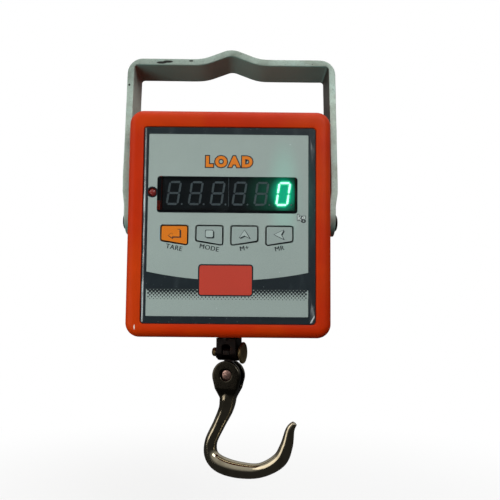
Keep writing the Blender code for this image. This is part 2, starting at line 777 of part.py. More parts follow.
def load_frame():
    outer = CASE_WIDTH / 2 - CASE_WALL - FIT_GAP
    foot = PIVOT_Z - 10 * MM
    inner = outer - FRAME_THICK
    under = FRAME_TOP - FRAME_THICK
    outside = [(-outer, foot), (-outer, FRAME_TOP), (outer, FRAME_TOP), (outer, foot)]
    inside = [(inner, foot), (inner, under), (-inner, under), (-inner, foot)]
    outside = rounded(outside, 6 * MM, closed=False)
    inside = rounded(inside, 2 * MM, closed=False)
    bm = bmesh.new()
    add_prism(bm, "Y", outside + inside, -FRAME_DEPTH / 2, FRAME_DEPTH / 2)
    frame = part("load_frame", bm, "zinc")
    holes = bmesh.new()
    for side in (-1, 1):
        span = (side * (inner - THROUGH), side * (outer + THROUGH))
        add_rod(holes, "X", (0.0, PIVOT_Z), PIVOT_BOLT / 2 + FIT_GAP, *span)
    add_rod(holes, "Z", (0.0, 0.0), CELL_BORE / 2, under - THROUGH, FRAME_TOP + THROUGH)
    cut(frame, holes)


def cell_top():
    return FRAME_TOP - FRAME_THICK - FIT_GAP


def load_cell():
    """An S-shaped block: two slots from opposite sides leave a bending beam between them."""
    half_w, half_d = CELL_SIZE[0] / 2, CELL_SIZE[1] / 2
    top = cell_top()
    bottom = top - CELL_SIZE[2]
    bm = bmesh.new()
    block = rounded(rectangle(-half_w, half_w, bottom, top), 2 * MM, steps=3)
    add_prism(bm, "Y", block, -half_d, half_d)
    cell = part("load_cell", bm, "aluminium")
    cuts = bmesh.new()
    past = half_d + THROUGH
    slot, arm, web = 1.2 * MM, 15 * MM, 9 * MM
    for low, side in ((top - arm, -1), (bottom + arm - slot, 1)):
        ends = sorted((side * (half_w + THROUGH), -side * (half_w - web)))
        add_box(cuts, (ends[0], -past, low), (ends[1], past, low + slot))
    cut(cell, cuts)
    bores = bmesh.new()
    deep = 13 * MM
    add_rod(bores, "Z", (0.0, 0.0), CELL_BORE / 2, top - deep, top + THROUGH)
    add_rod(bores, "Z", (0.0, 0.0), CELL_BORE / 2, bottom - THROUGH, bottom + deep)
    middle = (top + bottom) / 2
    for x in (-5.5 * MM, 5.5 * MM):
        add_rod(bores, "Y", (x, middle), 6.5 * MM, -past, past)
    cut(cell, bores, crossing=True)


def cell_fixings():
    washer_low = FRAME_TOP + FIT_GAP
    washer_high = washer_low + 1.4 * MM
    bm = bmesh.new()
    add_ring(bm, "Z", (0.0, 0.0), CELL_BORE / 2, 8 * MM, washer_low, washer_high)
    part("load_cell_washer", bm, "zinc")
    head_low = washer_high + FIT_GAP
    bm = bmesh.new()
    add_rod(bm, "Z", (0.0, 0.0), CELL_BOLT / 2, cell_top() - 12 * MM, head_low + 0.5 * MM)
    bolt = part("load_cell_bolt", bm, "zinc")
    head = bmesh.new()
    add_prism(head, "Z", hexagon(13 * MM), head_low, head_low + 5 * MM)
    join(bolt, head)


def yoke_top():
    return cell_top() - CELL_SIZE[2] - FIT_GAP


def swivel_yoke():
    """The frame that hangs from the load cell, and the washer in it that the hook's stud turns on."""
    top = yoke_top()
    bottom = top - YOKE_SIZE[2]
    floor = bottom + YOKE_PLATE
    half_w, half_d = YOKE_SIZE[0] / 2, YOKE_SIZE[1] / 2
    bm = bmesh.new()
    add_prism(bm, "Y", rounded(rectangle(-half_w, half_w, bottom, top), 3 * MM), -half_d, half_d)
    yoke = part("swivel_yoke", bm, "steel")
    stem = bmesh.new()
    add_rod(stem, "Z", (0.0, 0.0), CELL_BOLT / 2, top - 2 * MM, top + 12 * MM)
    join(yoke, stem)
    opening = bmesh.new()
    inside = half_w - 3.8 * MM
    window = rounded(rectangle(-inside, inside, floor, top - YOKE_PLATE), 1.5 * MM)
    add_prism(opening, "Y", window, -half_d - THROUGH, half_d + THROUGH)
    cut(yoke, opening)
    bore = bmesh.new()
    radius = STUD / 2 + FIT_GAP
    add_rod(bore, "Z", (0.0, 0.0), radius, bottom - THROUGH, floor + THROUGH, ROUND_STEPS)
    cut(yoke, bore)

    bm = bmesh.new()
    low = floor + FIT_GAP
    add_ring(bm, "Z", (0.0, 0.0), radius, 9.5 * MM, low, low + THRUST_WASHER)
    part("thrust_washer", bm, "bronze")


def bottom_bush():
    bm = bmesh.new()
    low = CASE_BOTTOM - FIT_GAP
    top = CASE_BOTTOM + CASE_WALL + 3 * MM
    bore = STUD / 2 + 0.4 * MM
    profile = [
        (bore, low - BUSH_FLANGE),
        (8.4 * MM, low - BUSH_FLANGE),
        (8.6 * MM, low),
        (BUSH_RADIUS, low),
        (BUSH_RADIUS, top),
        (bore, top),
    ]
    add_turned(bm, "Z", (0.0, 0.0), profile, tube=True)
    part("bottom_bush", bm, "black_plastic")


# The handle and its pivots


def handle_line():
    """Half of the handle's centre line, from the middle of the peak to the foot, as (across, up)."""
    half = STRAP_THICK / 2
    shoulder = HANDLE_TOP - half
    peak = half
    points = [
        (PEAK_LAND / 2, peak),
        (PEAK_HALF, shoulder),
        (HANDLE_HALF_TOP - half, shoulder),
        (HANDLE_HALF_BOW - half, JOGGLE[0] + 8 * MM),
        (HANDLE_HALF_BOW - half, JOGGLE[0]),
        (HANDLE_HALF_FOOT - half, JOGGLE[1]),
        (HANDLE_HALF_FOOT - half, HANDLE_END),
    ]
    radii = [0, 6 * MM, 5 * MM, 30 * MM, 6 * MM, 6 * MM, 0]
    return rounded(points, radii, closed=False, steps=3)


def foot_half_width(height):
    """Half the strap's width, which rounds in over its last stretch."""
    rise = max(height - HANDLE_END, 0.0)
    if rise >= FOOT_ROUND:
        return STRAP_WIDTH / 2
    return STRAP_WIDTH / 2 - FOOT_ROUND + sqrt(FOOT_ROUND**2 - (FOOT_ROUND - rise) ** 2)


def handle():
    right = handle_line()
    foot_x = right[-1].x
    right = right[:-1]
    foot_steps = 5
    for step in range(foot_steps + 1):
        rise = FOOT_ROUND * (1 - sin(pi / 2 * step / foot_steps))
        right.append(Vector((foot_x, HANDLE_END + rise)))
    line = [Vector((-p.x, p.y)) for p in reversed(right)] + right
    chamfer = 0.7 * MM
    rings = []
    for i, point in enumerate(line):
        back = (point - line[i - 1]).normalized() if i else (line[1] - point).normalized()
        ahead = (line[i + 1] - point).normalized() if i + 1 < len(line) else back
        along = (back + ahead).normalized()
        outward = Vector((-along.y, along.x))
        reach = (STRAP_THICK / 2) / max(outward.dot(Vector((-back.y, back.x))), 0.5)
        wide = foot_half_width(point.y)
        section = [
            (-reach + chamfer, -wide),
            (reach - chamfer, -wide),
            (reach, -wide + chamfer),
            (reach, wide - chamfer),
            (reach - chamfer, wide),
            (-reach + chamfer, wide),
            (-reach, wide - chamfer),
            (-reach, -wide + chamfer),
        ]
        rings.append([Vector((point.x + outward.x * r, y, point.y + outward.y * r)) for r, y in section])
    bm = bmesh.new()
    add_loft(bm, rings)
    stirrup = part("handle", bm, "cast_aluminium", origin=(0.0, 0.0, PIVOT_Z))
    holes = bmesh.new()
    inside, outside = HANDLE_HALF_FOOT - STRAP_THICK - 2 * MM, HANDLE_HALF_FOOT + 2 * MM
    radius = PIVOT_BOLT / 2 + FIT_GAP
    for side in (-1, 1):
        add_rod(holes, "X", (0.0, PIVOT_Z), radius, side * inside, side * outside, ROUND_STEPS)
    cut(stirrup, holes)


def pivots():
    case_side = CASE_WIDTH / 2
    frame_inside = case_side - CASE_WALL - FIT_GAP - FRAME_THICK
    pivot = (0.0, PIVOT_Z)
    radius = PIVOT_BOLT / 2
    for name, side in (("left", -1), ("right", 1)):
        bm = bmesh.new()
        head = HANDLE_HALF_FOOT + FIT_GAP
        profile = [
            (2.6 * MM, frame_inside - 6.4 * MM),
            (radius, frame_inside - 6.0 * MM),
            (radius, head),
            (PIVOT_HEAD, head),
            (PIVOT_HEAD, head + 0.8 * MM),
            (PIVOT_HEAD - 1.0 * MM, head + 1.8 * MM),
            (2.4 * MM, head + 2.2 * MM),
        ]
        add_turned(bm, "X", pivot, [(r, side * x) for r, x in profile])
        bolt = part(f"pivot_bolt_{name}", bm, "black_steel", origin=(0.0, 0.0, PIVOT_Z))
        socket = bmesh.new()
        span = (side * (head + 0.6 * MM), side * (head + 4 * MM))
        add_prism(socket, "X", hexagon(3.6 * MM, pivot), *span)
        cut(bolt, socket)

        bm = bmesh.new()
        seat = case_side - WASHER_SEAT[1] + FIT_GAP
        outer = HANDLE_HALF_FOOT - STRAP_THICK - FIT_GAP
        add_ring(bm, "X", pivot, radius + FIT_GAP, PIVOT_WASHER, side * seat, side * outer)
        part(f"pivot_washer_{name}", bm, "nylon", origin=(0.0, 0.0, PIVOT_Z))

        bm = bmesh.new()
        face = frame_inside - FIT_GAP
        back = face - 5 * MM
        add_prism(bm, "X", hexagon(10 * MM, pivot), side * back, side * face)
        nut = part(f"pivot_nut_{name}", bm, "zinc", origin=(0.0, 0.0, PIVOT_Z))
        bore = bmesh.new()
        add_rod(bore, "X", pivot, radius + FIT_GAP, side * (back - THROUGH), side * (face + THROUGH))
        cut(nut, bore)


# The swivel, the link and the hook, in the swivel's turned space


def swivel_parts(swivel):
    low_plate = yoke_top() - YOKE_SIZE[2] + YOKE_PLATE
    washer_top = low_plate + FIT_GAP + THRUST_WASHER
    fork_top = CASE_BOTTOM - BUSH_FLANGE - 2 * FIT_GAP
    stud_top = washer_top + FIT_GAP + 9.5 * MM
    half_w, half_d = FORK_WIDTH / 2, FORK_DEPTH / 2

    side_view = arc((0.0, CROSS_PIN_Z), half_d, 180, 360, 8)
    side_view += [(half_d, fork_top), (-half_d, fork_top)]
    bm = bmesh.new()
    add_prism(bm, "X", side_view, -half_w, half_w)
    fork = part("swivel_fork", bm, "black_steel", swivel)
    stud = bmesh.new()
    profile = [(STUD / 2, fork_top - 1 * MM), (STUD / 2, stud_top - 0.8 * MM), (4.2 * MM, stud_top)]
    add_turned(stud, "Z", (0.0, 0.0), profile)
    join(fork, stud)
    gap = bmesh.new()
    slot = (-FORK_GAP / 2, -half_d - THROUGH, CROSS_PIN_Z - 10 * MM)
    add_box(gap, slot, (FORK_GAP / 2, half_d + THROUGH, CROSS_PIN_Z + half_d + 0.5 * MM))
    cut(fork, gap)
    bore = bmesh.new()
    add_rod(bore, "X", (0.0, CROSS_PIN_Z), CROSS_PIN / 2 + FIT_GAP, -half_w - THROUGH, half_w + THROUGH)
    cut(fork, bore)

    bm = bmesh.new()
    low = washer_top + FIT_GAP
    high = low + 8 * MM
    add_prism(bm, "Z", hexagon(16 * MM), low, high)
    nut = part("swivel_nut", bm, "zinc", swivel)
    hole = bmesh.new()
    add_rod(hole, "Z", (0.0, 0.0), STUD / 2 + FIT_GAP, low - THROUGH, high + THROUGH, ROUND_STEPS)
    cut(nut, hole)

    head = half_w + FIT_GAP
    groove = -half_w - FIT_GAP
    neck = 2.1 * MM  # radius of the groove
    profile = [
        (1.2 * MM, groove - 3.9 * MM),
        (neck, groove - 3.6 * MM),
        (CROSS_PIN / 2, groove - 2.9 * MM),
        (CROSS_PIN / 2, groove - 0.9 * MM),
        (neck, groove - 0.9 * MM),
        (neck, groove + 0.2 * MM),
        (CROSS_PIN / 2, groove + 0.2 * MM),
        (CROSS_PIN / 2, head),
        (3.4 * MM, head),
        (6.1 * MM, head + 1.5 * MM),
        (6.4 * MM, head + 1.9 * MM),
        (6.4 * MM, head + 2.6 * MM),
        (6.0 * MM, head + 3.0 * MM),
    ]
    bm = bmesh.new()
    add_turned(bm, "X", (0.0, CROSS_PIN_Z), profile)
    part("cross_pin", bm, "yellow_zinc", swivel, origin=(0.0, 0.0, CROSS_PIN_Z))

    bm = bmesh.new()
    span = (groove - 0.6 * MM, groove)
    add_ring(bm, "X", (0.0, CROSS_PIN_Z), neck + FIT_GAP, 4.0 * MM, *span, steps=SMALL_STEPS)
    part("cross_pin_clip", bm, "black_steel", swivel, origin=(0.0, 0.0, CROSS_PIN_Z))


def link_block(link):
    """An eye across the fork and one across the hook, around the origin of the link's space."""
    drop = HOOK_PIN_Z - CROSS_PIN_Z
    thin = FORK_GAP / 2 - FIT_GAP
    flat = HOOK_SLOT / 2 - FIT_GAP
    eye_radius = 4.4 * MM
    right = [(flat, drop / 2 - 1 * MM), (flat, -3.8 * MM), (eye_radius, -1.2 * MM)]
    left = [(-y, z) for y, z in reversed(right)]
    upper = arc((0.0, 0.0), eye_radius, 0, 180, 8) + left + right
    bm = bmesh.new()
    add_prism(bm, "X", upper, -thin, thin)
    block = part("link_block", bm, "black_steel", link)
    neck = thin + 0.4 * MM
    lower = arc((0.0, drop), 5.8 * MM, 155, 385, 12) + [(neck, -5.2 * MM), (-neck, -5.2 * MM)]
    eye = bmesh.new()
    add_prism(eye, "Y", lower, -flat + 0.05 * MM, flat - 0.05 * MM)
    join(block, eye)
    bores = bmesh.new()
    add_rod(bores, "X", (0.0, 0.0), CROSS_PIN / 2 + FIT_GAP, -8 * MM, 8 * MM)
    add_rod(bores, "Y", (0.0, drop), HOOK_PIN / 2 + FIT_GAP, -8 * MM, 8 * MM)
    cut(block, bores)


def smooth_line(knots, steps):
    """A curve through the knots (Catmull-Rom), with each coordinate treated alike."""
    knots = [Vector(k) for k in knots]
    ends = [2 * knots[0] - knots[1]] + knots + [2 * knots[-1] - knots[-2]]
    points = []
    for i in range(1, len(ends) - 2):
        a, b, c, d = ends[i - 1 : i + 3]
        for step in range(steps):
            t = step / steps
            square, cube = 2 * a - 5 * b + 4 * c - d, 3 * b - a - 3 * c + d
            points.append(0.5 * (2 * b + (c - a) * t + square * t**2 + cube * t**3))
    return points + [knots[-1]]


def hook_sweep(bm, steps=3, sides=12):
    """The round bar of the hook, in the plane across the hook pin."""
    line = smooth_line(HOOK_LINE, steps)
    rings = []
    for i, point in enumerate(line):
        ahead = line[min(i + 1, len(line) - 1)] - line[max(i - 1, 0)]
        length = hypot(ahead.x, ahead.y)
        across = Vector((-ahead.y / length, 0.0, ahead.x / length))
        centre = Vector((point.x, 0.0, point.y))
        ring = []
        for side in range(sides):
            angle = 2 * pi * side / sides
            ring.append(centre + point.z * (cos(angle) * across + sin(angle) * Vector((0.0, 1.0, 0.0))))
        rings.append(ring)
    add_loft(bm, rings)


def hook_head(bm):
    """The forged head: a round eye, flat on both sides, that narrows and thins into the neck."""
    half = HOOK_HEAD / 2
    crown_steps = 10
    first, last = 78, -20  # from the top of the round to below its middle, in degrees
    angles = [radians(first + (last - first) * i / crown_steps) for i in range(crown_steps + 1)]
    sections = [(HOOK_EYE * cos(a), half, HOOK_EYE * sin(a) - HOOK_EYE_DROP) for a in angles]
    sections += [
        (7.2 * MM, half, -8.0 * MM),
        (4.6 * MM, 4.2 * MM, -13.0 * MM),
        (3.3 * MM, 3.2 * MM, -17.0 * MM),
    ]
    add_loft(bm, [[in_space("Z", p, z) for p in rectangle(-x, x, -y, y)] for x, y, z in sections])


def hook_parts(hook_axis):
    half = HOOK_HEAD / 2
    bm = bmesh.new()
    hook_head(bm)
    hook = part("hook", bm, "hook_steel", hook_axis)
    bar = bmesh.new()
    hook_sweep(bar)
    join(hook, bar)
    slot = bmesh.new()
    reach, above, slot_bottom = HOOK_EYE + 2 * MM, 12 * MM, -5.2 * MM
    side_view = [(-HOOK_SLOT / 2, above)] + arc((0.0, slot_bottom), HOOK_SLOT / 2, 180, 360, 6)
    side_view.append((HOOK_SLOT / 2, above))
    add_prism(slot, "X", side_view, -reach, reach)
    cut(hook, slot)
    bore = bmesh.new()
    add_rod(bore, "Y", (0.0, 0.0), HOOK_PIN / 2 + FIT_GAP, -half - THROUGH, half + THROUGH, ROUND_STEPS)
    cut(hook, bore)
    land = bmesh.new()
    across, floor = SADDLE
    half_land, half_d = 3.5 * MM, 6 * MM
    add_box(land, (across - half_land, -half_d, floor), (across + half_land, half_d, floor + 3 * MM))
    cut(hook, land)

    bm = bmesh.new()
    radius, tip = HOOK_PIN / 2, 2.7 * MM
    end = half - 1.0 * MM
    shoulder = end - 0.4 * MM
    add_turned(bm, "Y", (0.0, 0.0), [(tip, -end), (radius, -shoulder), (radius, shoulder), (tip, end)])
    part("hook_pin", bm, "copper", hook_axis)


def clear_scene():
    for old in list(bpy.data.objects):
        bpy.data.objects.remove(old)


clear_scene()
FINISH = {
    "case": material("case_red", (0.42, 0.045, 0.012), 0.35),
    "print": material("overlay_print", (0.30, 0.34, 0.32), 0.35),
    "clear": material("clear_window", (0.05, 0.05, 0.06), 0.1),
    "led_case": material("led_case", (0.02, 0.023, 0.026), 0.5),
    "lamp": material("lamp_red", (0.35, 0.05, 0.03), 0.25),
    "key_orange": material("key_orange", (0.60, 0.18, 0.02), 0.4),
    "key_grey": material("key_grey", (0.25, 0.28, 0.27), 0.4),
    "board": material("board_green", (0.01, 0.10, 0.03), 0.5),
    "chip": material("chip_black", (0.015, 0.015, 0.016), 0.55),
    "connector": material("connector_cream", (0.75, 0.70, 0.58), 0.5),
    "can": material("capacitor_can", (0.03, 0.03, 0.08), 0.35),
    "battery": material("battery_wrap", (0.02, 0.10, 0.35), 0.35),
    "black_plastic": material("black_plastic", (0.02, 0.02, 0.02), 0.45),
    "red_plastic": material("red_plastic", (0.45, 0.02, 0.015), 0.35),
    "nylon": material("nylon", (0.70, 0.69, 0.64), 0.5),
    "rubber": material("gasket_rubber", (0.02, 0.02, 0.02), 0.8),
    "cast_aluminium": material("cast_aluminium", (0.24, 0.25, 0.23), 0.5, 1.0),
    "aluminium": material("aluminium", (0.75, 0.75, 0.76), 0.35, 1.0),
    "zinc": material("zinc_plate", (0.60, 0.61, 0.62), 0.35, 1.0),
    "yellow_zinc": material("yellow_zinc", (0.50, 0.38, 0.20), 0.35, 1.0),
    "steel": material("plain_steel", (0.50, 0.50, 0.50), 0.4, 1.0),
    "black_steel": material("black_steel", (0.04, 0.038, 0.036), 0.35, 1.0),
    "hook_steel": material("hook_steel", (0.30, 0.28, 0.25), 0.25, 1.0),
    "bronze": material("bronze", (0.55, 0.36, 0.16), 0.4, 1.0),
    "copper": material("copper", (0.62, 0.42, 0.36), 0.4, 1.0),
}

front_case()
rear_case()
case_gasket()
rear_screws()
graphic_overlay()
display_window()
led_modules()
charge_lamp()
main_board()
board_chips()
keys_and_switches()
batteries()
power_switch()
charging_jack()
load_frame()
load_cell()
cell_fixings()
swivel_yoke()
bottom_bush()
handle()
pivots()

swivel_axis = axis_empty("swivel_axis", (0.0, 0.0, 0.0), SWIVEL_REST)
swivel_parts(swivel_axis)
link_axis = axis_empty("link_axis", (0.0, 0.0, CROSS_PIN_Z), parent=swivel_axis)
link_block(link_axis)
hook_axis = axis_empty("hook_axis", (0.0, 0.0, HOOK_PIN_Z), parent=swivel_axis)
hook_parts(hook_axis)
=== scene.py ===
"""The looks of the electronic crane scale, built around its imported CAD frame.

Lengths are in metres. +Z is up, the display faces -Y, and the origin is the hang point, under the
handle's peak.
"""

import json
from math import acos, atan2, ceil, cos, hypot, pi, radians, sin, sqrt, tan

import bmesh
import bpy
from mathutils import Matrix, Vector, noise

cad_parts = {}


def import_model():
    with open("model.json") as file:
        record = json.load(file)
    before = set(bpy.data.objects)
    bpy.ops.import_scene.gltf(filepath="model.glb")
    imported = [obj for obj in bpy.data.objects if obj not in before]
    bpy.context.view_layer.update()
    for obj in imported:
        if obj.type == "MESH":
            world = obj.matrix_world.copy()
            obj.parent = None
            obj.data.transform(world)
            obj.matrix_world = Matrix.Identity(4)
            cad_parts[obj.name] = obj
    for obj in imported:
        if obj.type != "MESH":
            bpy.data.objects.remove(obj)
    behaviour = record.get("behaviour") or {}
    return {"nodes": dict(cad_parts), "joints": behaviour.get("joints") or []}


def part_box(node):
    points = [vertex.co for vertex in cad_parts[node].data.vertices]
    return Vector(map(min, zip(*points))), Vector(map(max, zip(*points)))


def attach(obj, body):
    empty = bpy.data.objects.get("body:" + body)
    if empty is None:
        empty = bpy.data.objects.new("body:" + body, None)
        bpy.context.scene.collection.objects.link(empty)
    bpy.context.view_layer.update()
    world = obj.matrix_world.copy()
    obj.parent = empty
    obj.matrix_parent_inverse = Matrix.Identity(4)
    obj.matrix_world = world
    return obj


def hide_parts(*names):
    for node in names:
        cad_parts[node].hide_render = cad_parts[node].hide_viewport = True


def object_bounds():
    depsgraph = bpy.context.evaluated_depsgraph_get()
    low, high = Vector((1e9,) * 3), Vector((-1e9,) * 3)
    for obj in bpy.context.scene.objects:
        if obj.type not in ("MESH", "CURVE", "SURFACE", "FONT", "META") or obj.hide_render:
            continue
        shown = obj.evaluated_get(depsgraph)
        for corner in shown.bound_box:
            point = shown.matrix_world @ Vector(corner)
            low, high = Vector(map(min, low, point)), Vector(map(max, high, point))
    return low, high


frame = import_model()
cad_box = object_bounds()

MM = 0.001
INK = 0.02 * MM  # thickness of a printed layer
CAPITAL_SHARE = 0.7  # the height of a capital, as a share of its font's size
FINE, COARSE = 64, 32  # sides of a round shape, where 48 is usual
JOINTS = {joint["name"]: joint for joint in frame["joints"]}


# Outlines in two dimensions


def rounded(points, radius, closed=True, steps=8):
    """The outline through these points, its corners turned into arcs by one radius or one for each."""
    count = len(points)
    radii = radius if isinstance(radius, (list, tuple)) else [radius] * count
    corners = [Vector(p) for p in points]
    path = []
    for i, corner in enumerate(corners):
        if radii[i] == 0 or (not closed and i in (0, count - 1)):
            path.append(corner)
            continue
        back = (corners[i - 1] - corner).normalized()
        ahead = (corners[(i + 1) % count] - corner).normalized()
        half = acos(max(-1.0, min(1.0, back.dot(ahead)))) / 2
        centre = corner + (back + ahead).normalized() * (radii[i] / sin(half))
        start = corner + back * (radii[i] / tan(half)) - centre
        end = corner + ahead * (radii[i] / tan(half)) - centre
        turn = atan2(start.x * end.y - start.y * end.x, start.dot(end))
        for step in range(steps + 1):
            path.append(centre + Matrix.Rotation(turn * step / steps, 2) @ start)
    return path


def rectangle(left, right, bottom, top):
    return [Vector(p) for p in ((left, bottom), (right, bottom), (right, top), (left, top))]


def centred(centre, size, grow=0.0):
    half_w, half_h = size[0] / 2 + grow, size[1] / 2 + grow
    return rectangle(centre[0] - half_w, centre[0] + half_w, centre[1] - half_h, centre[1] + half_h)


def arc(centre, radius, start, end, steps):
    """Points on a circle from one angle to another, in degrees."""
    angles = [radians(start + (end - start) * i / steps) for i in range(steps + 1)]
    return [Vector((centre[0] + radius * cos(a), centre[1] + radius * sin(a))) for a in angles]


def circle(centre, radius, steps=48):
    return arc(centre, radius, 0, 360, steps)[:-1]


def hexagon(across_flats, centre=(0.0, 0.0)):
    return arc(centre, across_flats / sqrt(3), 30, 390, 6)[:-1]


def plus_sign(centre, reach, half):
    arm = [(reach, -half), (reach, half), (half, half)]
    turns = [Matrix.Rotation(quarter * pi / 2, 2) for quarter in range(4)]
    return [Vector(centre) + turn @ Vector(point) for turn in turns for point in arm]


def moved(outline, centre, turn=0.0, lean=0.0):
    """An outline leaned over, turned and moved."""
    spin = Matrix.Rotation(turn, 2)
    return [Vector(centre) + spin @ Vector((p[0] + p[1] * tan(lean), p[1])) for p in outline]


# Meshes


def in_space(axis, point, along):
    """A point of a flat outline, set at a distance along the axis that the outline faces."""
    u, v = point
    return Vector({"X": (along, u, v), "Y": (u, along, v), "Z": (u, v, along)}[axis])


def loft(bm, rings, tube=False):
    """Skins rings of equal length. The ends are capped, or joined to each other for a tube."""
    made = [[bm.verts.new(point) for point in ring] for ring in rings]
    pairs = list(zip(made, made[1:]))
    if tube:
        pairs.append((made[-1], made[0]))
    else:
        bm.faces.new(made[0][::-1])
        bm.faces.new(made[-1])
    count = len(made[0])
    for first, second in pairs:
        for i in range(count):
            j = (i + 1) % count
            bm.faces.new((first[i], first[j], second[j], second[i]))
    return bm


def prism(bm, axis, outline, start, end):
    return loft(bm, [[in_space(axis, point, along) for point in outline] for along in (start, end)])


def box(bm, low, high):
    return prism(bm, "Z", rectangle(low[0], high[0], low[1], high[1]), low[2], high[2])


def turned(bm, axis, centre, profile, tube=False, steps=48):
    """Turns (radius, along) pairs about an axis through centre."""
    rings = [[in_space(axis, point, a) for point in circle(centre, r, steps)] for r, a in profile]
    return loft(bm, rings, tube)


def rod(bm, axis, centre, radius, start, end, steps=48):
    return turned(bm, axis, centre, [(radius, start), (radius, end)], steps=steps)


def profile_from(place, side, *points):
    """A turned profile from (radius, distance) pairs in mm, the distances from a place towards a side."""
    return [(radius * MM, place + side * distance * MM) for radius, distance in points]


def washer_profile(inner, outer, start, end, edge):
    """The section of a flat washer with its outer corners bevelled."""
    half = [(inner, start), (outer - edge, start), (outer, start + edge)]
    return half + [(outer, end - edge), (outer - edge, end), (inner, end)]


def raw_object(name, bm):
    bmesh.ops.recalc_face_normals(bm, faces=bm.faces)
    mesh = bpy.data.meshes.new(name)
    bm.to_mesh(mesh)
    bm.free()
    made = bpy.data.objects.new(name, mesh)
    bpy.context.scene.collection.objects.link(made)
    return made


def evaluated_copy(obj):
    """The object's mesh with its modifiers applied, as a bmesh. The object is removed."""
    graph = bpy.context.evaluated_depsgraph_get()
    result = bmesh.new()
    result.from_object(obj, graph)
    old = obj.data
    bpy.data.objects.remove(obj)
    bpy.data.meshes.remove(old)
    return result


def combined(bm, other, operation="DIFFERENCE", crossing=False):
    """The mesh with the other one cut away or joined on."""
    base, tool = raw_object("base", bm), raw_object("tool", other)
    change = base.modifiers.new("Change", "BOOLEAN")
    change.operation = operation
    change.solver = "EXACT"
    change.use_self = crossing
    change.object = tool
    result = evaluated_copy(base)
    bpy.data.objects.remove(tool)
    return result


def softened(bm, voxel, passes):
    """A forged look: the mesh is remeshed finely and its edges are relaxed."""
    base = raw_object("base", bm)
    remesh = base.modifiers.new("Remesh", "REMESH")
    remesh.mode = "VOXEL"
    remesh.voxel_size = voxel
    smooth = base.modifiers.new("Relax", "SMOOTH")
    smooth.factor = 0.5
    smooth.iterations = passes
    return evaluated_copy(base)


def roughened(bm, depth, size, seed=0.0):
    """Presses the surface in by a smooth noise, so that it never grows past its own outline."""
    bm.normal_update()
    shifts = []
    for vert in bm.verts:
        value = noise.noise(vert.co / size + Vector((seed, seed, seed)))
        shifts.append(vert.normal * (-depth * (0.5 + 0.5 * value)))
    for vert, shift in zip(bm.verts, shifts):
        vert.co += shift
    return bm


def piece(name, bm, look, body, replaces=(), bevel=0.0, angle=35):
    """A finished piece that rides on a body."""
    made = raw_object(name, bm)
    made.data.shade_smooth()
    if bevel:
        edge = made.modifiers.new("Edge", "BEVEL")
        edge.width = bevel
        edge.segments = 2
        edge.limit_method = "ANGLE"
        edge.angle_limit = radians(angle)
        edge.harden_normals = True
    made.data.set_sharp_from_angle(angle=radians(angle))
    made.data.materials.append(look)
    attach(made, body)
    if replaces:
        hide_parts(*([replaces] if isinstance(replaces, str) else replaces))
    return made


def lettering(text, height, weight=0.0, spacing=1.0):
    """Plain lettering as a bmesh: centred, flat in the X-Y plane and as thick as INK."""
    curve = bpy.data.curves.new("lettering", "FONT")
    curve.body = text
    curve.size = height / CAPITAL_SHARE
    curve.align_x = "CENTER"
    curve.align_y = "CENTER"
    curve.offset = weight
    curve.space_character = spacing
    curve.extrude = INK / 2
    curve.resolution_u = 3
    made = bpy.data.objects.new("lettering", curve)
    bpy.context.scene.collection.objects.link(made)
    graph = bpy.context.evaluated_depsgraph_get()
    mesh = bpy.data.meshes.new_from_object(made.evaluated_get(graph))
    result = bmesh.new()
    result.from_mesh(mesh)
    bmesh.ops.remove_doubles(result, verts=result.verts, dist=1e-7)
    bpy.data.objects.remove(made)
    bpy.data.curves.remove(curve)
    bpy.data.meshes.remove(mesh)
    return result


def put_lettering(bm, text, place, depth, height, turn=0.0, weight=0.0, spacing=1.0):
    """Adds lettering that faces -Y, centred at (x, z) and at a depth."""
    letters = lettering(text, height, weight, spacing)
    stand = Matrix.Translation((place[0], depth, place[1])) @ Matrix.Rotation(-turn, 4, "Y")
    letters.transform(stand @ Matrix.Rotation(pi / 2, 4, "X"))
    mesh = bpy.data.meshes.new("letters")
    letters.to_mesh(mesh)
    letters.free()
    bm.from_mesh(mesh)
    bpy.data.meshes.remove(mesh)


# Materials


def srgb(red, green, blue):
    """A colour from 0-255 display values, as linear light."""
    values = [v / 255 for v in (red, green, blue)]
    return tuple(v / 12.92 if v <= 0.04045 else ((v + 0.055) / 1.055) ** 2.4 for v in values) + (1.0,)


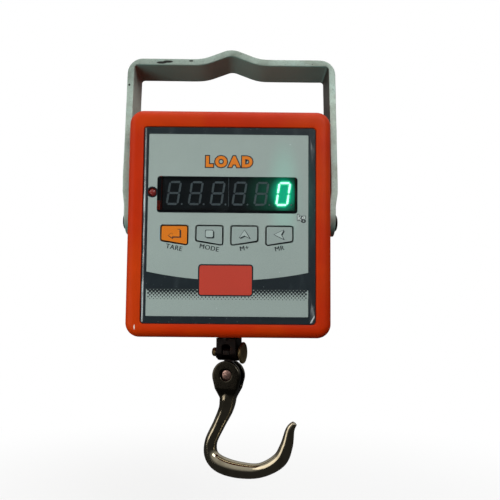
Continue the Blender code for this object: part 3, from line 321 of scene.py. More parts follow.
class Look:
    """A Principled material and short calls for the nodes that vary its colour, roughness and height."""

    def __init__(self, name, colour, roughness, metallic=0.0, **inputs):
        self.material = bpy.data.materials.new(name)
        self.material.use_nodes = True
        self.tree = self.material.node_tree
        self.shader = self.tree.nodes["Principled BSDF"]
        self.place = self.node("TexCoord").outputs["Object"]
        self.height = None
        self.set("Base Color", colour)
        self.set("Roughness", roughness)
        self.set("Metallic", metallic)
        for key, value in inputs.items():
            self.set(key.replace("_", " "), value)

    def node(self, kind, inputs=None, **settings):
        made = self.tree.nodes.new("ShaderNode" + kind)
        for key, value in settings.items():
            setattr(made, key, value)
        for key, value in (inputs or {}).items():
            self.connect(value, made.inputs[key])
        return made

    def connect(self, value, socket):
        if isinstance(value, bpy.types.NodeSocket):
            self.tree.links.new(value, socket)
        else:
            socket.default_value = value

    def set(self, name, value):
        self.connect(value, self.shader.inputs[name])

    def get(self, name):
        """What feeds an input of the shader now: a socket or a value."""
        socket = self.shader.inputs[name]
        if socket.is_linked:
            return socket.links[0].from_socket
        return socket.default_value

    def normal(self):
        return self.node("NewGeometry").outputs["True Normal"]

    def math(self, operation, first, second=0.0, third=0.0, clamp=False):
        made = self.node("Math", {0: first, 1: second, 2: third}, operation=operation, use_clamp=clamp)
        return made.outputs[0]

    def stretched(self, stretch=(1, 1, 1), turn=(0, 0, 0)):
        inputs = {"Vector": self.place, "Scale": stretch, "Rotation": turn}
        return self.node("Mapping", inputs).outputs[0]

    def noise(self, size, detail=4.0, stretch=(1, 1, 1), turn=(0, 0, 0), distortion=0.0, rough=0.55):
        """A cloudy value from 0 to 1, with features of about this size."""
        inputs = {
            "Vector": self.stretched(stretch, turn),
            "Scale": 1 / size,
            "Detail": detail,
            "Roughness": rough,
            "Distortion": distortion,
        }
        return self.node("TexNoise", inputs).outputs["Fac"]

    def spots(self, size, radius, stretch=(1, 1, 1)):
        """1 inside scattered spots, 0 elsewhere. The radius is a share of the size."""
        inputs = {"Vector": self.stretched(stretch), "Scale": 1 / size}
        cells = self.node("TexVoronoi", inputs)
        return self.between(cells.outputs["Distance"], radius, radius * 0.6)

    def between(self, value, low, high, to_low=0.0, to_high=1.0):
        """A smooth step that is to_low at low and to_high at high."""
        inputs = {"Value": value, "From Min": low, "From Max": high, "To Min": to_low, "To Max": to_high}
        return self.node("MapRange", inputs, interpolation_type="SMOOTHSTEP").outputs[0]

    def patches(self, low, high, *noise, **settings):
        """Cloudy patches, from 0 where the noise is at low to 1 where it is at high."""
        return self.between(self.noise(*noise, **settings), low, high)

    def edges(self, radius, low=0.02, high=0.25):
        """1 along edges sharper than the radius, 0 on flat stretches."""
        soft = self.node("Bevel", {"Radius": radius}, samples=6).outputs[0]
        true = self.node("NewGeometry").outputs["Normal"]
        dot = self.node("VectorMath", {0: soft, 1: true}, operation="DOT_PRODUCT").outputs["Value"]
        return self.between(self.math("SUBTRACT", 1.0, dot), low, high)

    def near(self, centre, reach, low, high):
        """1 near a point and 0 far from it. Distances are in units of reach along each axis."""
        shift = self.node("VectorMath", {0: self.place, 1: centre}, operation="SUBTRACT").outputs[0]
        scale = [1 / r for r in reach]
        scaled = self.node("VectorMath", {0: shift, 1: scale}, operation="MULTIPLY").outputs[0]
        length = self.node("VectorMath", {0: scaled}, operation="LENGTH").outputs["Value"]
        return self.between(length, high, low)

    def tint(self, mask, colour, amount=1.0):
        """Blends another colour in where the mask is 1."""
        share = self.math("MULTIPLY", mask, amount)
        made = self.node("Mix", data_type="RGBA")
        self.connect(share, made.inputs[0])
        self.connect(self.get("Base Color"), made.inputs[6])
        self.connect(colour, made.inputs[7])
        self.set("Base Color", made.outputs[2])
        return self

    def shade(self, value, low, high):
        """Multiplies the colour by low where the value is 0 and by high where it is 1."""
        factor = self.node("MapRange", {"Value": value, "To Min": low, "To Max": high}).outputs[0]
        colour = self.get("Base Color")
        if not isinstance(colour, bpy.types.NodeSocket):
            colour = tuple(colour)[:3]
        made = self.node("VectorMath", {1: colour}, operation="MULTIPLY")
        self.connect(factor, made.inputs[0])
        self.set("Base Color", made.outputs[0])
        return self

    def polish(self, value, amount):
        """Adds value times amount to the roughness."""
        share = self.math("MULTIPLY", value, amount)
        self.set("Roughness", self.math("ADD", self.get("Roughness"), share, clamp=True))
        return self

    def raise_by(self, value, depth):
        """Adds value times depth, in metres, to the height that the bump comes from."""
        share = self.math("MULTIPLY", value, depth)
        self.height = share if self.height is None else self.math("ADD", self.height, share)
        return self

    def done(self):
        if self.height is not None:
            bump = self.node("Bump", {"Height": self.height, "Distance": 1.0, "Strength": 1.0})
            self.set("Normal", bump.outputs[0])
        return self.material


RUBBED_PLASTIC = srgb(225, 130, 100)


def moulded(name, colour, roughness, wear=RUBBED_PLASTIC, specular=0.3, warm=None, nick=None):
    """Injection-moulded plastic: fine grain, cloudy colour, rubbed edges and light handling marks."""
    look = Look(name, colour, roughness, Specular_IOR_Level=specular)
    if warm:
        look.tint(look.patches(0.4, 0.7, 40 * MM, 2), warm, 0.5)
    cloud = look.noise(14 * MM, 3)
    look.shade(cloud, 0.86, 1.12)
    look.polish(look.noise(4 * MM, 5), 0.18)
    rubs = look.patches(0.5, 0.75, 2.5 * MM, 6, rough=0.7)
    look.tint(look.math("MULTIPLY", look.edges(0.7 * MM), rubs), wear, 0.35)
    streak = look.noise(0.7 * MM, 3, stretch=(1, 1, 0.06), turn=(0.3, 0.5, 0.2))
    look.polish(look.between(streak, 0.62, 0.72), 0.15)
    look.raise_by(look.noise(0.45 * MM, 2), 0.02 * MM)
    look.raise_by(look.noise(9 * MM, 2), 0.12 * MM)
    if nick:
        look.tint(look.near(*nick, 0.5, 1.0), srgb(240, 232, 222))
    return look.done()


def printed(name, colour, roughness=0.42):
    """Ink behind a finely textured polycarbonate sheet."""
    look = Look(name, colour, roughness, Specular_IOR_Level=0.35)
    look.shade(look.noise(0.55 * MM, 2), 0.93, 1.07)
    look.shade(look.noise(22 * MM, 3), 0.93, 1.07)
    look.polish(look.noise(7 * MM, 4), 0.16)
    look.raise_by(look.noise(0.35 * MM, 2), 0.006 * MM)
    look.set("Coat Weight", 0.1)
    look.set("Coat Roughness", 0.3)
    return look


def key_look(name, colour):
    """A printed key face, with black on its chamfer and sides."""
    look = printed(name, colour)
    facing = look.node("SeparateXYZ", {0: look.normal()}).outputs[1]
    look.tint(look.between(facing, -0.95, -0.85), srgb(16, 20, 22))
    return look.done()


def plated(name, colour, roughness, dirt=srgb(60, 55, 48), dirty=0.5):
    """Plated or plain steel: soft blotches in the finish, dirt in some of them, bright edges."""
    look = Look(name, colour, roughness, 1.0)
    blotch = look.noise(3 * MM, 5, rough=0.65)
    look.tint(look.between(blotch, 0.45, 0.75), dirt, dirty)
    look.polish(blotch, 0.25)
    look.tint(look.edges(0.4 * MM), srgb(225, 222, 215), 0.5)
    look.raise_by(look.noise(0.5 * MM, 3), 0.01 * MM)
    return look.done()


def plain_moulding(name, colour, roughness=0.5):
    """A small unpainted moulding: fine grain and slightly uneven colour."""
    look = Look(name, colour, roughness)
    look.shade(look.noise(3 * MM, 3), 0.85, 1.15)
    look.polish(look.noise(1.5 * MM, 3), 0.15)
    look.tint(look.edges(0.3 * MM), srgb(120, 120, 122), 0.18)
    look.raise_by(look.noise(0.3 * MM, 2), 0.008 * MM)
    return look.done()


def case_look():
    return moulded(
        "case_red",
        srgb(186, 42, 0),
        0.4,
        wear=srgb(210, 92, 50),
        specular=0.16,
        warm=srgb(202, 66, 0),
        nick=((-51.9 * MM, -27.5 * MM, -161.0 * MM), (0.5 * MM, 4 * MM, 1.9 * MM)),
    )


def sheet_look():
    """The dark border of the overlay, dusty and scuffed at its edge, with a painted green glow near the lit
    digit.
    """
    look = printed("overlay_dark", srgb(28, 36, 41), 0.42)
    dust = look.spots(2.6 * MM, 0.09)
    look.tint(dust, srgb(150, 155, 155), 0.5)
    smear = look.patches(0.52, 0.7, 6 * MM, 6, stretch=(1, 1, 0.35))
    look.tint(smear, srgb(60, 68, 72), 0.25)
    look.set("Specular IOR Level", 0.2)
    # painted glow: green emission on the sheet where light from the lit digit would fall
    painted_glow = look.near((LIT_X + 9 * MM, PANEL_FRONT, LED_MIDDLE - 4 * MM), (12 * MM, 1.0, 40 * MM), 0.1, 1.0)
    look.set("Emission Color", (0.0, 1.0, 0.7, 1.0))
    look.set("Emission Strength", look.math("MULTIPLY", painted_glow, 0.045))
    return look.done()


def silver_look():
    look = printed("print_silver", srgb(158, 168, 163), 0.5)
    look.tint(look.spots(0.5 * MM, 0.3), srgb(176, 184, 182), 0.45)
    look.tint(look.spots(9 * MM, 0.035), srgb(235, 240, 240), 0.7)
    # painted glow: green emission on the silver print where light from the lit digit would fall
    painted_glow = look.near((LIT_X, PANEL_FRONT, LED_MIDDLE), (11 * MM, 1.0, 34 * MM), 0.2, 1.1)
    look.set("Emission Color", (0.0, 1.0, 0.65, 1.0))
    look.set("Emission Strength", look.math("MULTIPLY", painted_glow, 0.10))
    return look.done()


def cast_look():
    """Raw cast aluminium: dull skin with pits, stains and dark gouges, with painted light and shade: a
    painted bluish shade below, painted shade inside one leg, and painted light towards the right and on the
    legs.
    """
    look = Look("cast_aluminium", srgb(160, 174, 164), 0.5, 0.3)
    skin = look.noise(1.5 * MM, 6, rough=0.7)
    look.shade(skin, 0.62, 1.34)
    stain = look.noise(16 * MM, 4, stretch=(1, 0.5, 1))
    look.tint(look.between(stain, 0.46, 0.72), srgb(104, 108, 92), 0.6)
    look.tint(look.patches(0.5, 0.75, 9 * MM, 5), srgb(150, 176, 172), 0.35)
    pits = look.math("MULTIPLY", look.spots(3.4 * MM, 0.11), look.patches(0.45, 0.6, 12 * MM, 2))
    look.tint(pits, srgb(28, 30, 28), 0.9)
    speckle = look.math("MULTIPLY", look.spots(1.8 * MM, 0.2), look.noise(3 * MM, 3))
    look.tint(speckle, srgb(64, 74, 68), 0.8)
    for centre, reach in GOUGES:
        look.tint(look.near(centre, reach, 0.75, 1.0), srgb(20, 18, 15), 0.97)
    facing = look.node("SeparateXYZ", {0: look.normal()}).outputs
    place = look.node("SeparateXYZ", {0: look.place}).outputs
    # painted shade: faces that point down get a darker blue-grey colour
    look.tint(look.between(facing[2], -0.3, -0.8), srgb(116, 168, 160), 0.85)
    # painted light: the colour grows brighter towards the right side
    look.shade(look.between(place[0], -60 * MM, 60 * MM), 0.94, 1.12)
    # painted light: the legs, below the top bar, are made brighter
    look.shade(look.between(place[2], -8 * MM, -26 * MM), 1.0, 1.35)
    # painted shade on the inner face of the right leg, the face that points left
    right_leg = look.between(place[0], 50 * MM, 55 * MM)
    look.tint(look.math("MULTIPLY", look.between(facing[0], -0.4, -0.85), right_leg), srgb(44, 42, 36), 0.9)
    look.polish(skin, 0.2)
    look.tint(look.edges(0.6 * MM), srgb(214, 222, 212), 0.35)
    look.raise_by(skin, 0.05 * MM)
    look.raise_by(look.noise(4 * MM, 3), 0.12 * MM)
    look.raise_by(pits, -0.15 * MM)
    return look.done()


def hook_look():
    """Forged steel, nickel plated: smooth with a warm cast, darker on the flats of the head."""
    look = Look("hook_steel", srgb(190, 180, 156), 0.07, 1.0)
    blotch = look.noise(7 * MM, 4, rough=0.5)
    look.tint(look.between(blotch, 0.42, 0.75), srgb(140, 130, 108), 0.6)
    look.polish(blotch, 0.09)
    head = look.near((0.0, 0.0, HOOK_PIN_Z - 1.5 * MM), (30 * MM, 30 * MM, 12.5 * MM), 0.75, 1.05)
    look.tint(head, srgb(44, 41, 36), 0.9)
    look.polish(head, 0.14)
    # painted highlight: a cream tint along the edges
    look.tint(look.edges(0.7 * MM, 0.05, 0.3), srgb(226, 214, 196), 0.5)
    look.raise_by(look.noise(9 * MM, 2), 0.12 * MM)
    return look.done()


def black_steel_look():
    """Oil-blackened steel with brown in it and bright edges."""
    look = Look("black_steel", srgb(52, 48, 47), 0.24, 1.0)
    look.tint(look.patches(0.45, 0.7, 3.5 * MM, 4), srgb(72, 52, 46), 0.6)
    look.polish(look.noise(1.6 * MM, 5), 0.22)
    look.tint(look.edges(0.35 * MM), srgb(178, 170, 160), 0.6)
    look.raise_by(look.noise(0.8 * MM, 3), 0.012 * MM)
    return look.done()


def pin_look():
    """The bare, hammered end of the hook's pin, with a pinkish copper flash."""
    look = Look("copper", srgb(206, 168, 158), 0.34, 1.0)
    look.tint(look.patches(0.5, 0.7, 1.1 * MM, 4), srgb(120, 78, 66), 0.6)
    look.tint(look.spots(1.9 * MM, 0.22), srgb(30, 22, 20), 0.9)
    look.raise_by(look.noise(0.9 * MM, 3), 0.08 * MM)
    return look.done()


def window_look():
    """A thin smoky pane: clear to look through, with a faint gloss and a milky bloom on one side."""
    look = Look("window", srgb(30, 32, 34), 0.12)
    tree = look.tree
    clear = look.node("BsdfTransparent", {"Color": (0.72, 0.74, 0.75, 1.0)}).outputs[0]
    bloom = look.patches(0.5, 0.75, 5 * MM, 5, stretch=(1, 1, 0.7))
    left = look.near((WINDOW_LEFT, PANEL_FRONT, WINDOW_MIDDLE), (10 * MM, 1.0, 1.0), 0.2, 1.0)
    look.tint(bloom, srgb(150, 160, 165), 0.4)
    look.raise_by(look.noise(8 * MM, 2), 0.02 * MM)
    surface = look.shader.outputs[0]
    fresnel = look.node("Fresnel", {"IOR": 1.4}).outputs[0]
    haze = look.math("MULTIPLY", bloom, look.math("ADD", 0.03, look.math("MULTIPLY", left, 0.22)))
    share = look.math("ADD", look.math("MULTIPLY", fresnel, 0.8), haze, clamp=True)
    mixed = look.node("MixShader", {0: share, 1: clear, 2: surface}).outputs[0]
    tree.links.new(mixed, tree.nodes["Material Output"].inputs["Surface"])
    return look.done()


def film_look():
    """Clear protective film: almost invisible where it lies flat, whitish along its edges and its crease."""
    look = Look("clear_film", srgb(225, 230, 232), 0.2)
    tree = look.tree
    clear = look.node("BsdfTransparent", {"Color": (0.985, 0.99, 0.99, 1.0)}).outputs[0]
    across = look.node("SeparateXYZ", {0: look.place}).outputs[0]
    left = look.between(across, -47.0 * MM, -48.0 * MM)
    right = look.between(across, 44.5 * MM, 48.2 * MM)
    streaks = look.patches(0.55, 0.75, 5 * MM, 6, stretch=(1, 1, 0.16), rough=0.7)
    broken = look.patches(0.42, 0.62, 7 * MM, 5, stretch=(1, 1, 0.3))
    white = look.math("MULTIPLY", left, look.math("MULTIPLY_ADD", broken, 0.5, third=0.18))
    white = look.math("ADD", white, look.math("MULTIPLY", right, look.math("MULTIPLY", streaks, 0.35)))
    start, slope = FILM_FOLD
    shift = look.node("VectorMath", {0: look.place, 1: start}, operation="SUBTRACT").outputs[0]
    off_line = look.node("VectorMath", {0: shift, 1: slope}, operation="DOT_PRODUCT").outputs["Value"]
    crease = look.between(look.math("ABSOLUTE", off_line), 0.5 * MM, 0.15 * MM)
    crease = look.math("MULTIPLY", crease, look.near(start, (3.6 * MM,) * 3, 0.7, 1.0))
    white = look.math("MAXIMUM", white, look.math("MULTIPLY", crease, 0.7))
    gloss = look.math("MULTIPLY", look.node("Fresnel", {"IOR": 1.3}).outputs[0], 0.06)
    share = look.math("ADD", white, gloss, clamp=True)
    look.raise_by(look.noise(11 * MM, 3), 0.15 * MM)
    mixed = look.node("MixShader", {0: share, 1: clear, 2: look.shader.outputs[0]}).outputs[0]
    tree.links.new(mixed, tree.nodes["Material Output"].inputs["Surface"])
    return look.done()


def led_face_look():
    """The dark resin face of the display, with light from the lit digit spreading through it."""
    look = Look("led_case", srgb(36, 40, 44), 0.42)
    look.shade(look.noise(1.2 * MM, 3), 0.85, 1.15)
    look.tint(look.patches(0.5, 0.8, 9 * MM, 5), srgb(62, 66, 70), 0.4)
    look.polish(look.noise(3 * MM, 4), 0.2)
    look.raise_by(look.noise(0.4 * MM, 2), 0.006 * MM)
    look.tint(look.edges(0.3 * MM, 0.01, 0.08), srgb(140, 146, 150), 0.6)
    halo = look.near((LIT_X, LED_FACE_Y, LED_MIDDLE), (7.6 * MM, 1.0, 10.6 * MM), 0.3, 1.15)
    far = look.near((LIT_X, LED_FACE_Y, LED_MIDDLE), (22 * MM, 1.0, 17 * MM), 0.0, 1.2)
    strength = look.math("ADD", look.math("MULTIPLY", halo, 0.62), look.math("MULTIPLY", far, 0.13))
    look.set("Emission Color", (0.0, 1.0, 0.5, 1.0))
    look.set("Emission Strength", strength)
    return look.done()


def lit_look():
    look = Look("led_lit", srgb(235, 255, 245), 0.4)
    flicker = look.noise(2 * MM, 2)
    look.set("Emission Color", (0.55, 1.0, 0.80, 1.0))
    look.set("Emission Strength", look.between(flicker, 0.2, 0.8, 2.2, 2.8))
    return look.done()


def glow_look():
    """The soft green rim of light round a lit segment."""
    look = Look("led_glow", srgb(20, 120, 80), 0.5)
    look.set("Emission Color", (0.0, 1.0, 0.45, 1.0))
    look.set("Emission Strength", look.between(look.noise(2.2 * MM, 2), 0.2, 0.8, 0.9, 1.15))
    return look.done()


def lamp_look():
    look = Look("lamp", srgb(132, 44, 40), 0.18, Coat_Weight=0.5)
    look.shade(look.noise(1.2 * MM, 3), 0.6, 1.25)
    look.raise_by(look.noise(0.6 * MM, 2), 0.01 * MM)
    return look.done()


def board_look():
    """Green solder mask with copper tracks showing through it."""
    look = Look("board", srgb(14, 84, 44), 0.35)
    tracks = look.noise(3 * MM, 1, stretch=(1, 1, 0.12))
    look.tint(look.between(tracks, 0.52, 0.54), srgb(44, 128, 70), 0.7)
    look.tint(look.spots(4 * MM, 0.1), srgb(205, 205, 200), 0.9)
    look.raise_by(look.between(tracks, 0.52, 0.54), 0.02 * MM)
    return look.done()


def wrap_look():
    """Shrink-wrapped cell: glossy blue film with soft folds round it."""
    look = Look("battery", srgb(38, 92, 168), 0.25)
    folds = look.noise(2.5 * MM, 3, stretch=(1, 1, 0.2))
    look.shade(folds, 0.8, 1.1)
    look.raise_by(folds, 0.05 * MM)
    return look.done()


# Places, from the frame

front_low, front_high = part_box("front_case")
rear_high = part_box("rear_case")[1]
sheet_low, sheet_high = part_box("graphic_overlay")
pane_low, pane_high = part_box("display_window")
lamp_low, lamp_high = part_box("charge_lamp")
PANEL_FRONT = sheet_low.y  # face of the overlay
PANEL_CENTRE = (-0.65 * MM, (sheet_low.z + sheet_high.z) / 2)  # the print sits a little left on its sheet
HINGE_Z = JOINTS["handle_swing"]["pos_m"][2]
CROSS_PIN_Z = JOINTS["link_swing"]["pos_m"][2]
HOOK_PIN_Z = JOINTS["hook_swing"]["pos_m"][2]
LINK_AXIS = JOINTS["link_swing"]["axis"]
SWIVEL_TURN = Matrix.Rotation(atan2(LINK_AXIS[1], LINK_AXIS[0]), 4, "Z")
FIT_GAP = 0.3 * MM
THROUGH = 1.0 * MM  # how far a cutter runs past the wall it cuts

WINDOW_LEFT, WINDOW_MIDDLE = pane_low.x, (pane_low.z + pane_high.z) / 2
LAMP_CENTRE = ((lamp_low.x + lamp_high.x) / 2, (lamp_low.z + lamp_high.z) / 2)
LAMP_RADIUS = (lamp_high.x - lamp_low.x) / 2

led_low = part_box("led_module_left")[0]
led_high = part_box("led_module_right")[1]
LED_FACE_Y = led_low.y
LED_MIDDLE = (led_low.z + led_high.z) / 2
LED_SEAM = (led_low.x + led_high.x) / 2
DIGIT_PITCH = 12.45 * MM
LIT_X = LED_SEAM + 2.5 * DIGIT_PITCH

CASE_CORNER = 8.0 * MM
CASE_WALL = 2.8 * MM
FRONT_ROUND = 5.0 * MM
BACK_ROUND = 4.0 * MM
SEAM_BEVEL = 0.35 * MM  # along the joint between the halves of the case
LIP_WIDTH = 1.4 * MM  # of the rear half's edge, outside the gasket
MOUTH_BEVEL = 0.4 * MM  # at the mouth of a hole in the case
RECESS_FLOOR = sheet_high.y + FIT_GAP
PANEL_WALL = 2.3 * MM  # behind the recess
SCREW_HOLE = 1.75 * MM  # radius
PIVOT_HOLE = 3.3 * MM  # radius
CROSS_PIN_HOLE = 2.95 * MM  # radius
HOOK_PIN_HOLE = 3.6 * MM  # radius
LED_EDGE = 0.35 * MM  # the gap round the display modules
SWITCH_FLANGE = (21.2 * MM, 14.8 * MM)
SWITCH_BODY = (18.8 * MM, 12.4 * MM)
SWITCH_WELL = (15.6 * MM, 10.0 * MM)
KEY_FLANGE = 1.2 * MM  # the pad behind a key's face reaches this far past it
KEY_CORNER = 1.2 * MM
KEY_SHORT, KEY_LONG = 8.7 * MM, 11.1 * MM
KEY_SIDES = {  # the left and the right side of each key's face
    "tare": (KEY_SHORT, KEY_LONG),
    "mode": (KEY_SHORT, KEY_LONG),
    "m_plus": (KEY_LONG, KEY_SHORT),
    "mr": (KEY_LONG, KEY_SHORT),
}

# the turned corner of the film: a point on its crease and the direction across the crease
FILM_FOLD = ((47.2 * MM, PANEL_FRONT, -155.9 * MM), (0.877, 0.0, -0.48))
# the dark marks knocked into the front edge of the handle: centre and reach
GOUGES = (
    ((-42.0 * MM, -14.0 * MM, -4.1 * MM), (3.4 * MM, 1.6 * MM, 0.85 * MM)),
    ((-38.2 * MM, -14.0 * MM, -3.5 * MM), (3.4 * MM, 1.6 * MM, 0.85 * MM)),
    ((-24.3 * MM, -14.0 * MM, -2.9 * MM), (1.5 * MM, 1.4 * MM, 0.55 * MM)),
    ((-61.0 * MM, -14.0 * MM, -18.0 * MM), (0.7 * MM, 1.4 * MM, 0.8 * MM)),
)

LOOK = {
    "case": case_look(),
    "sheet": sheet_look(),
    "silver": silver_look(),
    "ink": printed("print_dark", srgb(30, 36, 40)).done(),
    "orange_ink": printed("print_orange", srgb(226, 122, 20)).done(),
    "red_ink": printed("print_red", srgb(196, 64, 48), 0.36).done(),
    "pale_ink": printed("print_pale", srgb(205, 212, 208)).done(),
    "icon_ink": printed("print_icon", srgb(176, 186, 182)).done(),
    "key_orange": key_look("key_orange", srgb(222, 118, 14)),
    "key_grey": key_look("key_grey", srgb(154, 164, 160)),
    "window": window_look(),
    "film": film_look(),
    "led_case": led_face_look(),
    "led_off": plain_moulding("led_off", srgb(164, 172, 175), 0.45),
    "led_lit": lit_look(),
    "led_glow": glow_look(),
    "lamp": lamp_look(),
    "foam": plain_moulding("black_foam", srgb(26, 28, 31), 0.8),
    "cast": cast_look(),
    "hook": hook_look(),
    "black_steel": black_steel_look(),
    "pin": pin_look(),
    "yellow_zinc": plated("yellow_zinc", srgb(170, 150, 108), 0.34, srgb(96, 84, 52), 0.6),
    "zinc": plated("zinc", srgb(186, 188, 190), 0.32),
    "steel": plated("plain_steel", srgb(170, 170, 168), 0.38),
    "aluminium": plated("aluminium", srgb(206, 208, 210), 0.36, srgb(150, 152, 155), 0.4),
    "bronze": plated("bronze", srgb(186, 146, 92), 0.36, srgb(110, 76, 40), 0.6),
    "nylon": plain_moulding("nylon", srgb(214, 212, 202), 0.5),
    "black_plastic": plain_moulding("black_plastic", srgb(30, 30, 32), 0.45),
    "rocker": moulded("rocker_red", srgb(190, 26, 20), 0.3),
    "rubber": plain_moulding("gasket", srgb(34, 34, 34), 0.8),
    "board": board_look(),
    "battery": wrap_look(),
    "chip": plain_moulding("chip", srgb(32, 32, 34), 0.55),
    "connector": plain_moulding("connector", srgb(222, 214, 194), 0.5),
    "can": plated("can", srgb(58, 60, 92), 0.35, srgb(24, 24, 40), 0.5),
}


# The case


def case_ring(inset, depth):
    across = (front_low.x + inset, front_high.x - inset)
    outline = rectangle(*across, front_low.z + inset, front_high.z - inset)
    corner = max(CASE_CORNER - inset, 0.5 * MM)
    return [in_space("Y", point, depth) for point in rounded(outline, corner, steps=14)]


def rounded_edge(face, depth_sign, radius, steps=10):
    """Rings from the rim of a face back to the side of the case."""
    rings = []
    for step in range(steps + 1):
        angle = pi / 2 * step / steps
        rings.append(case_ring(radius * (1 - cos(angle)), face - depth_sign * radius * (1 - sin(angle))))
    return rings


def recess_ring(grow, depth, corner=2.0 * MM):
    outline = rectangle(sheet_low.x - grow, sheet_high.x + grow, sheet_low.z - grow, sheet_high.z + grow)
    return [in_space("Y", point, depth) for point in rounded(outline, corner, steps=14)]


def key_outline(name, grow=0.0):
    """The outline of a key's face, cut from its box: one lower corner is higher than the other."""
    centre, width, top, sides = KEYS[name]
    left, right = centre - width / 2 - grow, centre + width / 2 + grow
    low_left, low_right = (top - side - grow for side in sides)
    corners = [(left, low_left), (right, low_right), (right, top + grow), (left, top + grow)]
    return rounded(corners, KEY_CORNER + grow, steps=8)


def key_places():
    """Centre, width, top and the left and right sides of each key's face, from its solid."""
    places = {}
    for name, sides in KEY_SIDES.items():
        low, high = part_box(f"key_{name}")
        width = high.x - low.x - 2 * KEY_FLANGE
        places[name] = ((low.x + high.x) / 2, width, high.z - KEY_FLANGE, sides)
    return places


KEYS = key_places()


def window_outline(grow=0.0):
    edge = grow + FIT_GAP
    outline = rectangle(pane_low.x - edge, pane_high.x + edge, pane_low.z - edge, pane_high.z + edge)
    return rounded(outline, 1.6 * MM + grow, steps=8)


def screw_places():
    places = []
    for number in range(1, 5):
        low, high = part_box(f"rear_screw_{number}")
        places.append(((low.x + high.x) / 2, (low.z + high.z) / 2))
    return places


def flat_centre(node):
    """The middle of a node, seen from below."""
    low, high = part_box(node)
    return (low.x + high.x) / 2, (low.y + high.y) / 2


def front_holes(inner_face):
    """Cutters for the keys, the display, the lamp, the screws, the pivots and the fittings below."""
    holes = bmesh.new()
    before, behind = front_low.y - THROUGH, inner_face + THROUGH
    for name in KEYS:
        prism(holes, "Y", key_outline(name, FIT_GAP + 0.4 * MM), before, behind)
    across = (led_low.x - LED_EDGE, led_high.x + LED_EDGE)
    gap = rectangle(*across, led_low.z - LED_EDGE, led_high.z + LED_EDGE)
    prism(holes, "Y", gap, before, behind)
    rod(holes, "Y", LAMP_CENTRE, LAMP_RADIUS + FIT_GAP, before, behind, COARSE)
    for place in screw_places():
        rod(holes, "Y", place, SCREW_HOLE, 4 * MM, front_high.y + THROUGH, 16)
    washer_pocket = 8.6 * MM
    for side, wall in ((-1, front_low.x), (1, front_high.x)):
        seat = wall - side * 1.0 * MM
        profile = [
            (washer_pocket + MOUTH_BEVEL + THROUGH, wall + side * THROUGH),
            (washer_pocket, wall - side * MOUTH_BEVEL),
            (washer_pocket, seat),
            (PIVOT_HOLE, seat),
            (PIVOT_HOLE, wall - side * (CASE_WALL + THROUGH)),
        ]
        turned(holes, "X", (0.0, HINGE_Z), profile, steps=FINE)
    bottom, inside = front_low.z, front_low.z + CASE_WALL + THROUGH
    before, deep = bottom - THROUGH, bottom + 1.2 * MM
    bush, jack_flange, jack_body = 7.3 * MM, 6.2 * MM, 4.3 * MM
    turned(holes, "Z", (0.0, 0.0), [(bush + THROUGH, before), (bush, bottom), (bush, inside)])
    flange = rounded(centred(flat_centre("switch_housing"), SWITCH_FLANGE, 0.4 * MM), 1.5 * MM)
    prism(holes, "Z", flange, before, deep)
    profile = [(jack_flange, before), (jack_flange, deep), (jack_body, deep), (jack_body, inside)]
    turned(holes, "Z", flat_centre("charging_jack"), profile)
    return holes


def front_shell():
    inner_face = RECESS_FLOOR + PANEL_WALL
    rings = [
        case_ring(CASE_WALL + 1 * MM, inner_face),
        case_ring(CASE_WALL, inner_face + 1 * MM),
        case_ring(CASE_WALL, front_high.y),
        case_ring(SEAM_BEVEL, front_high.y),
        case_ring(0.0, front_high.y - SEAM_BEVEL),
        *rounded_edge(front_low.y, -1, FRONT_ROUND),
        recess_ring(0.65 * MM, front_low.y),
        recess_ring(0.42 * MM, front_low.y + 0.08 * MM),
        recess_ring(0.3 * MM, front_low.y + 0.3 * MM),
        recess_ring(0.3 * MM, RECESS_FLOOR),
    ]
    posts = bmesh.new()
    for place in screw_places():
        profile = [(4.2 * MM, inner_face - 0.5 * MM), (4.0 * MM, front_high.y - 0.2 * MM)]
        turned(posts, "Y", place, profile, steps=24)
    shell = combined(loft(bmesh.new(), rings), posts, "UNION")
    shell = combined(shell, front_holes(inner_face))
    switch_slot = centred(flat_centre("switch_housing"), SWITCH_BODY, 0.4 * MM)
    span = (front_low.z - 2 * THROUGH, front_low.z + CASE_WALL + THROUGH)
    shell = combined(shell, prism(bmesh.new(), "Z", switch_slot, *span))
    piece("front_shell", shell, LOOK["case"], "case", "front_case")


def rear_shell():
    lip, step = front_high.y + FIT_GAP, front_high.y + 1.3 * MM
    inner_face = rear_high.y - CASE_WALL
    rings = [
        case_ring(CASE_WALL + 1 * MM, inner_face),
        case_ring(CASE_WALL, inner_face - 1 * MM),
        case_ring(CASE_WALL, step),
        case_ring(LIP_WIDTH, step),
        case_ring(LIP_WIDTH, lip),
        case_ring(SEAM_BEVEL, lip),
        case_ring(0.0, lip + SEAM_BEVEL),
        *rounded_edge(rear_high.y, 1, BACK_ROUND),
    ]
    shell = loft(bmesh.new(), rings)
    pillars, holes = bmesh.new(), bmesh.new()
    head_seat, sink = step + 2.5 * MM, 3.2 * MM
    for place in screw_places():
        rod(pillars, "Y", place, 4.4 * MM, step, inner_face + 0.5 * MM, 24)
        profile = [
            (SCREW_HOLE, step - THROUGH),
            (SCREW_HOLE, head_seat),
            (sink, head_seat),
            (sink, rear_high.y - MOUTH_BEVEL),
            (sink + MOUTH_BEVEL + THROUGH, rear_high.y + THROUGH),
        ]
        turned(holes, "Y", place, profile)
    shell = combined(combined(shell, pillars, "UNION"), holes)
    piece("rear_shell", shell, LOOK["case"], "case", "rear_case")


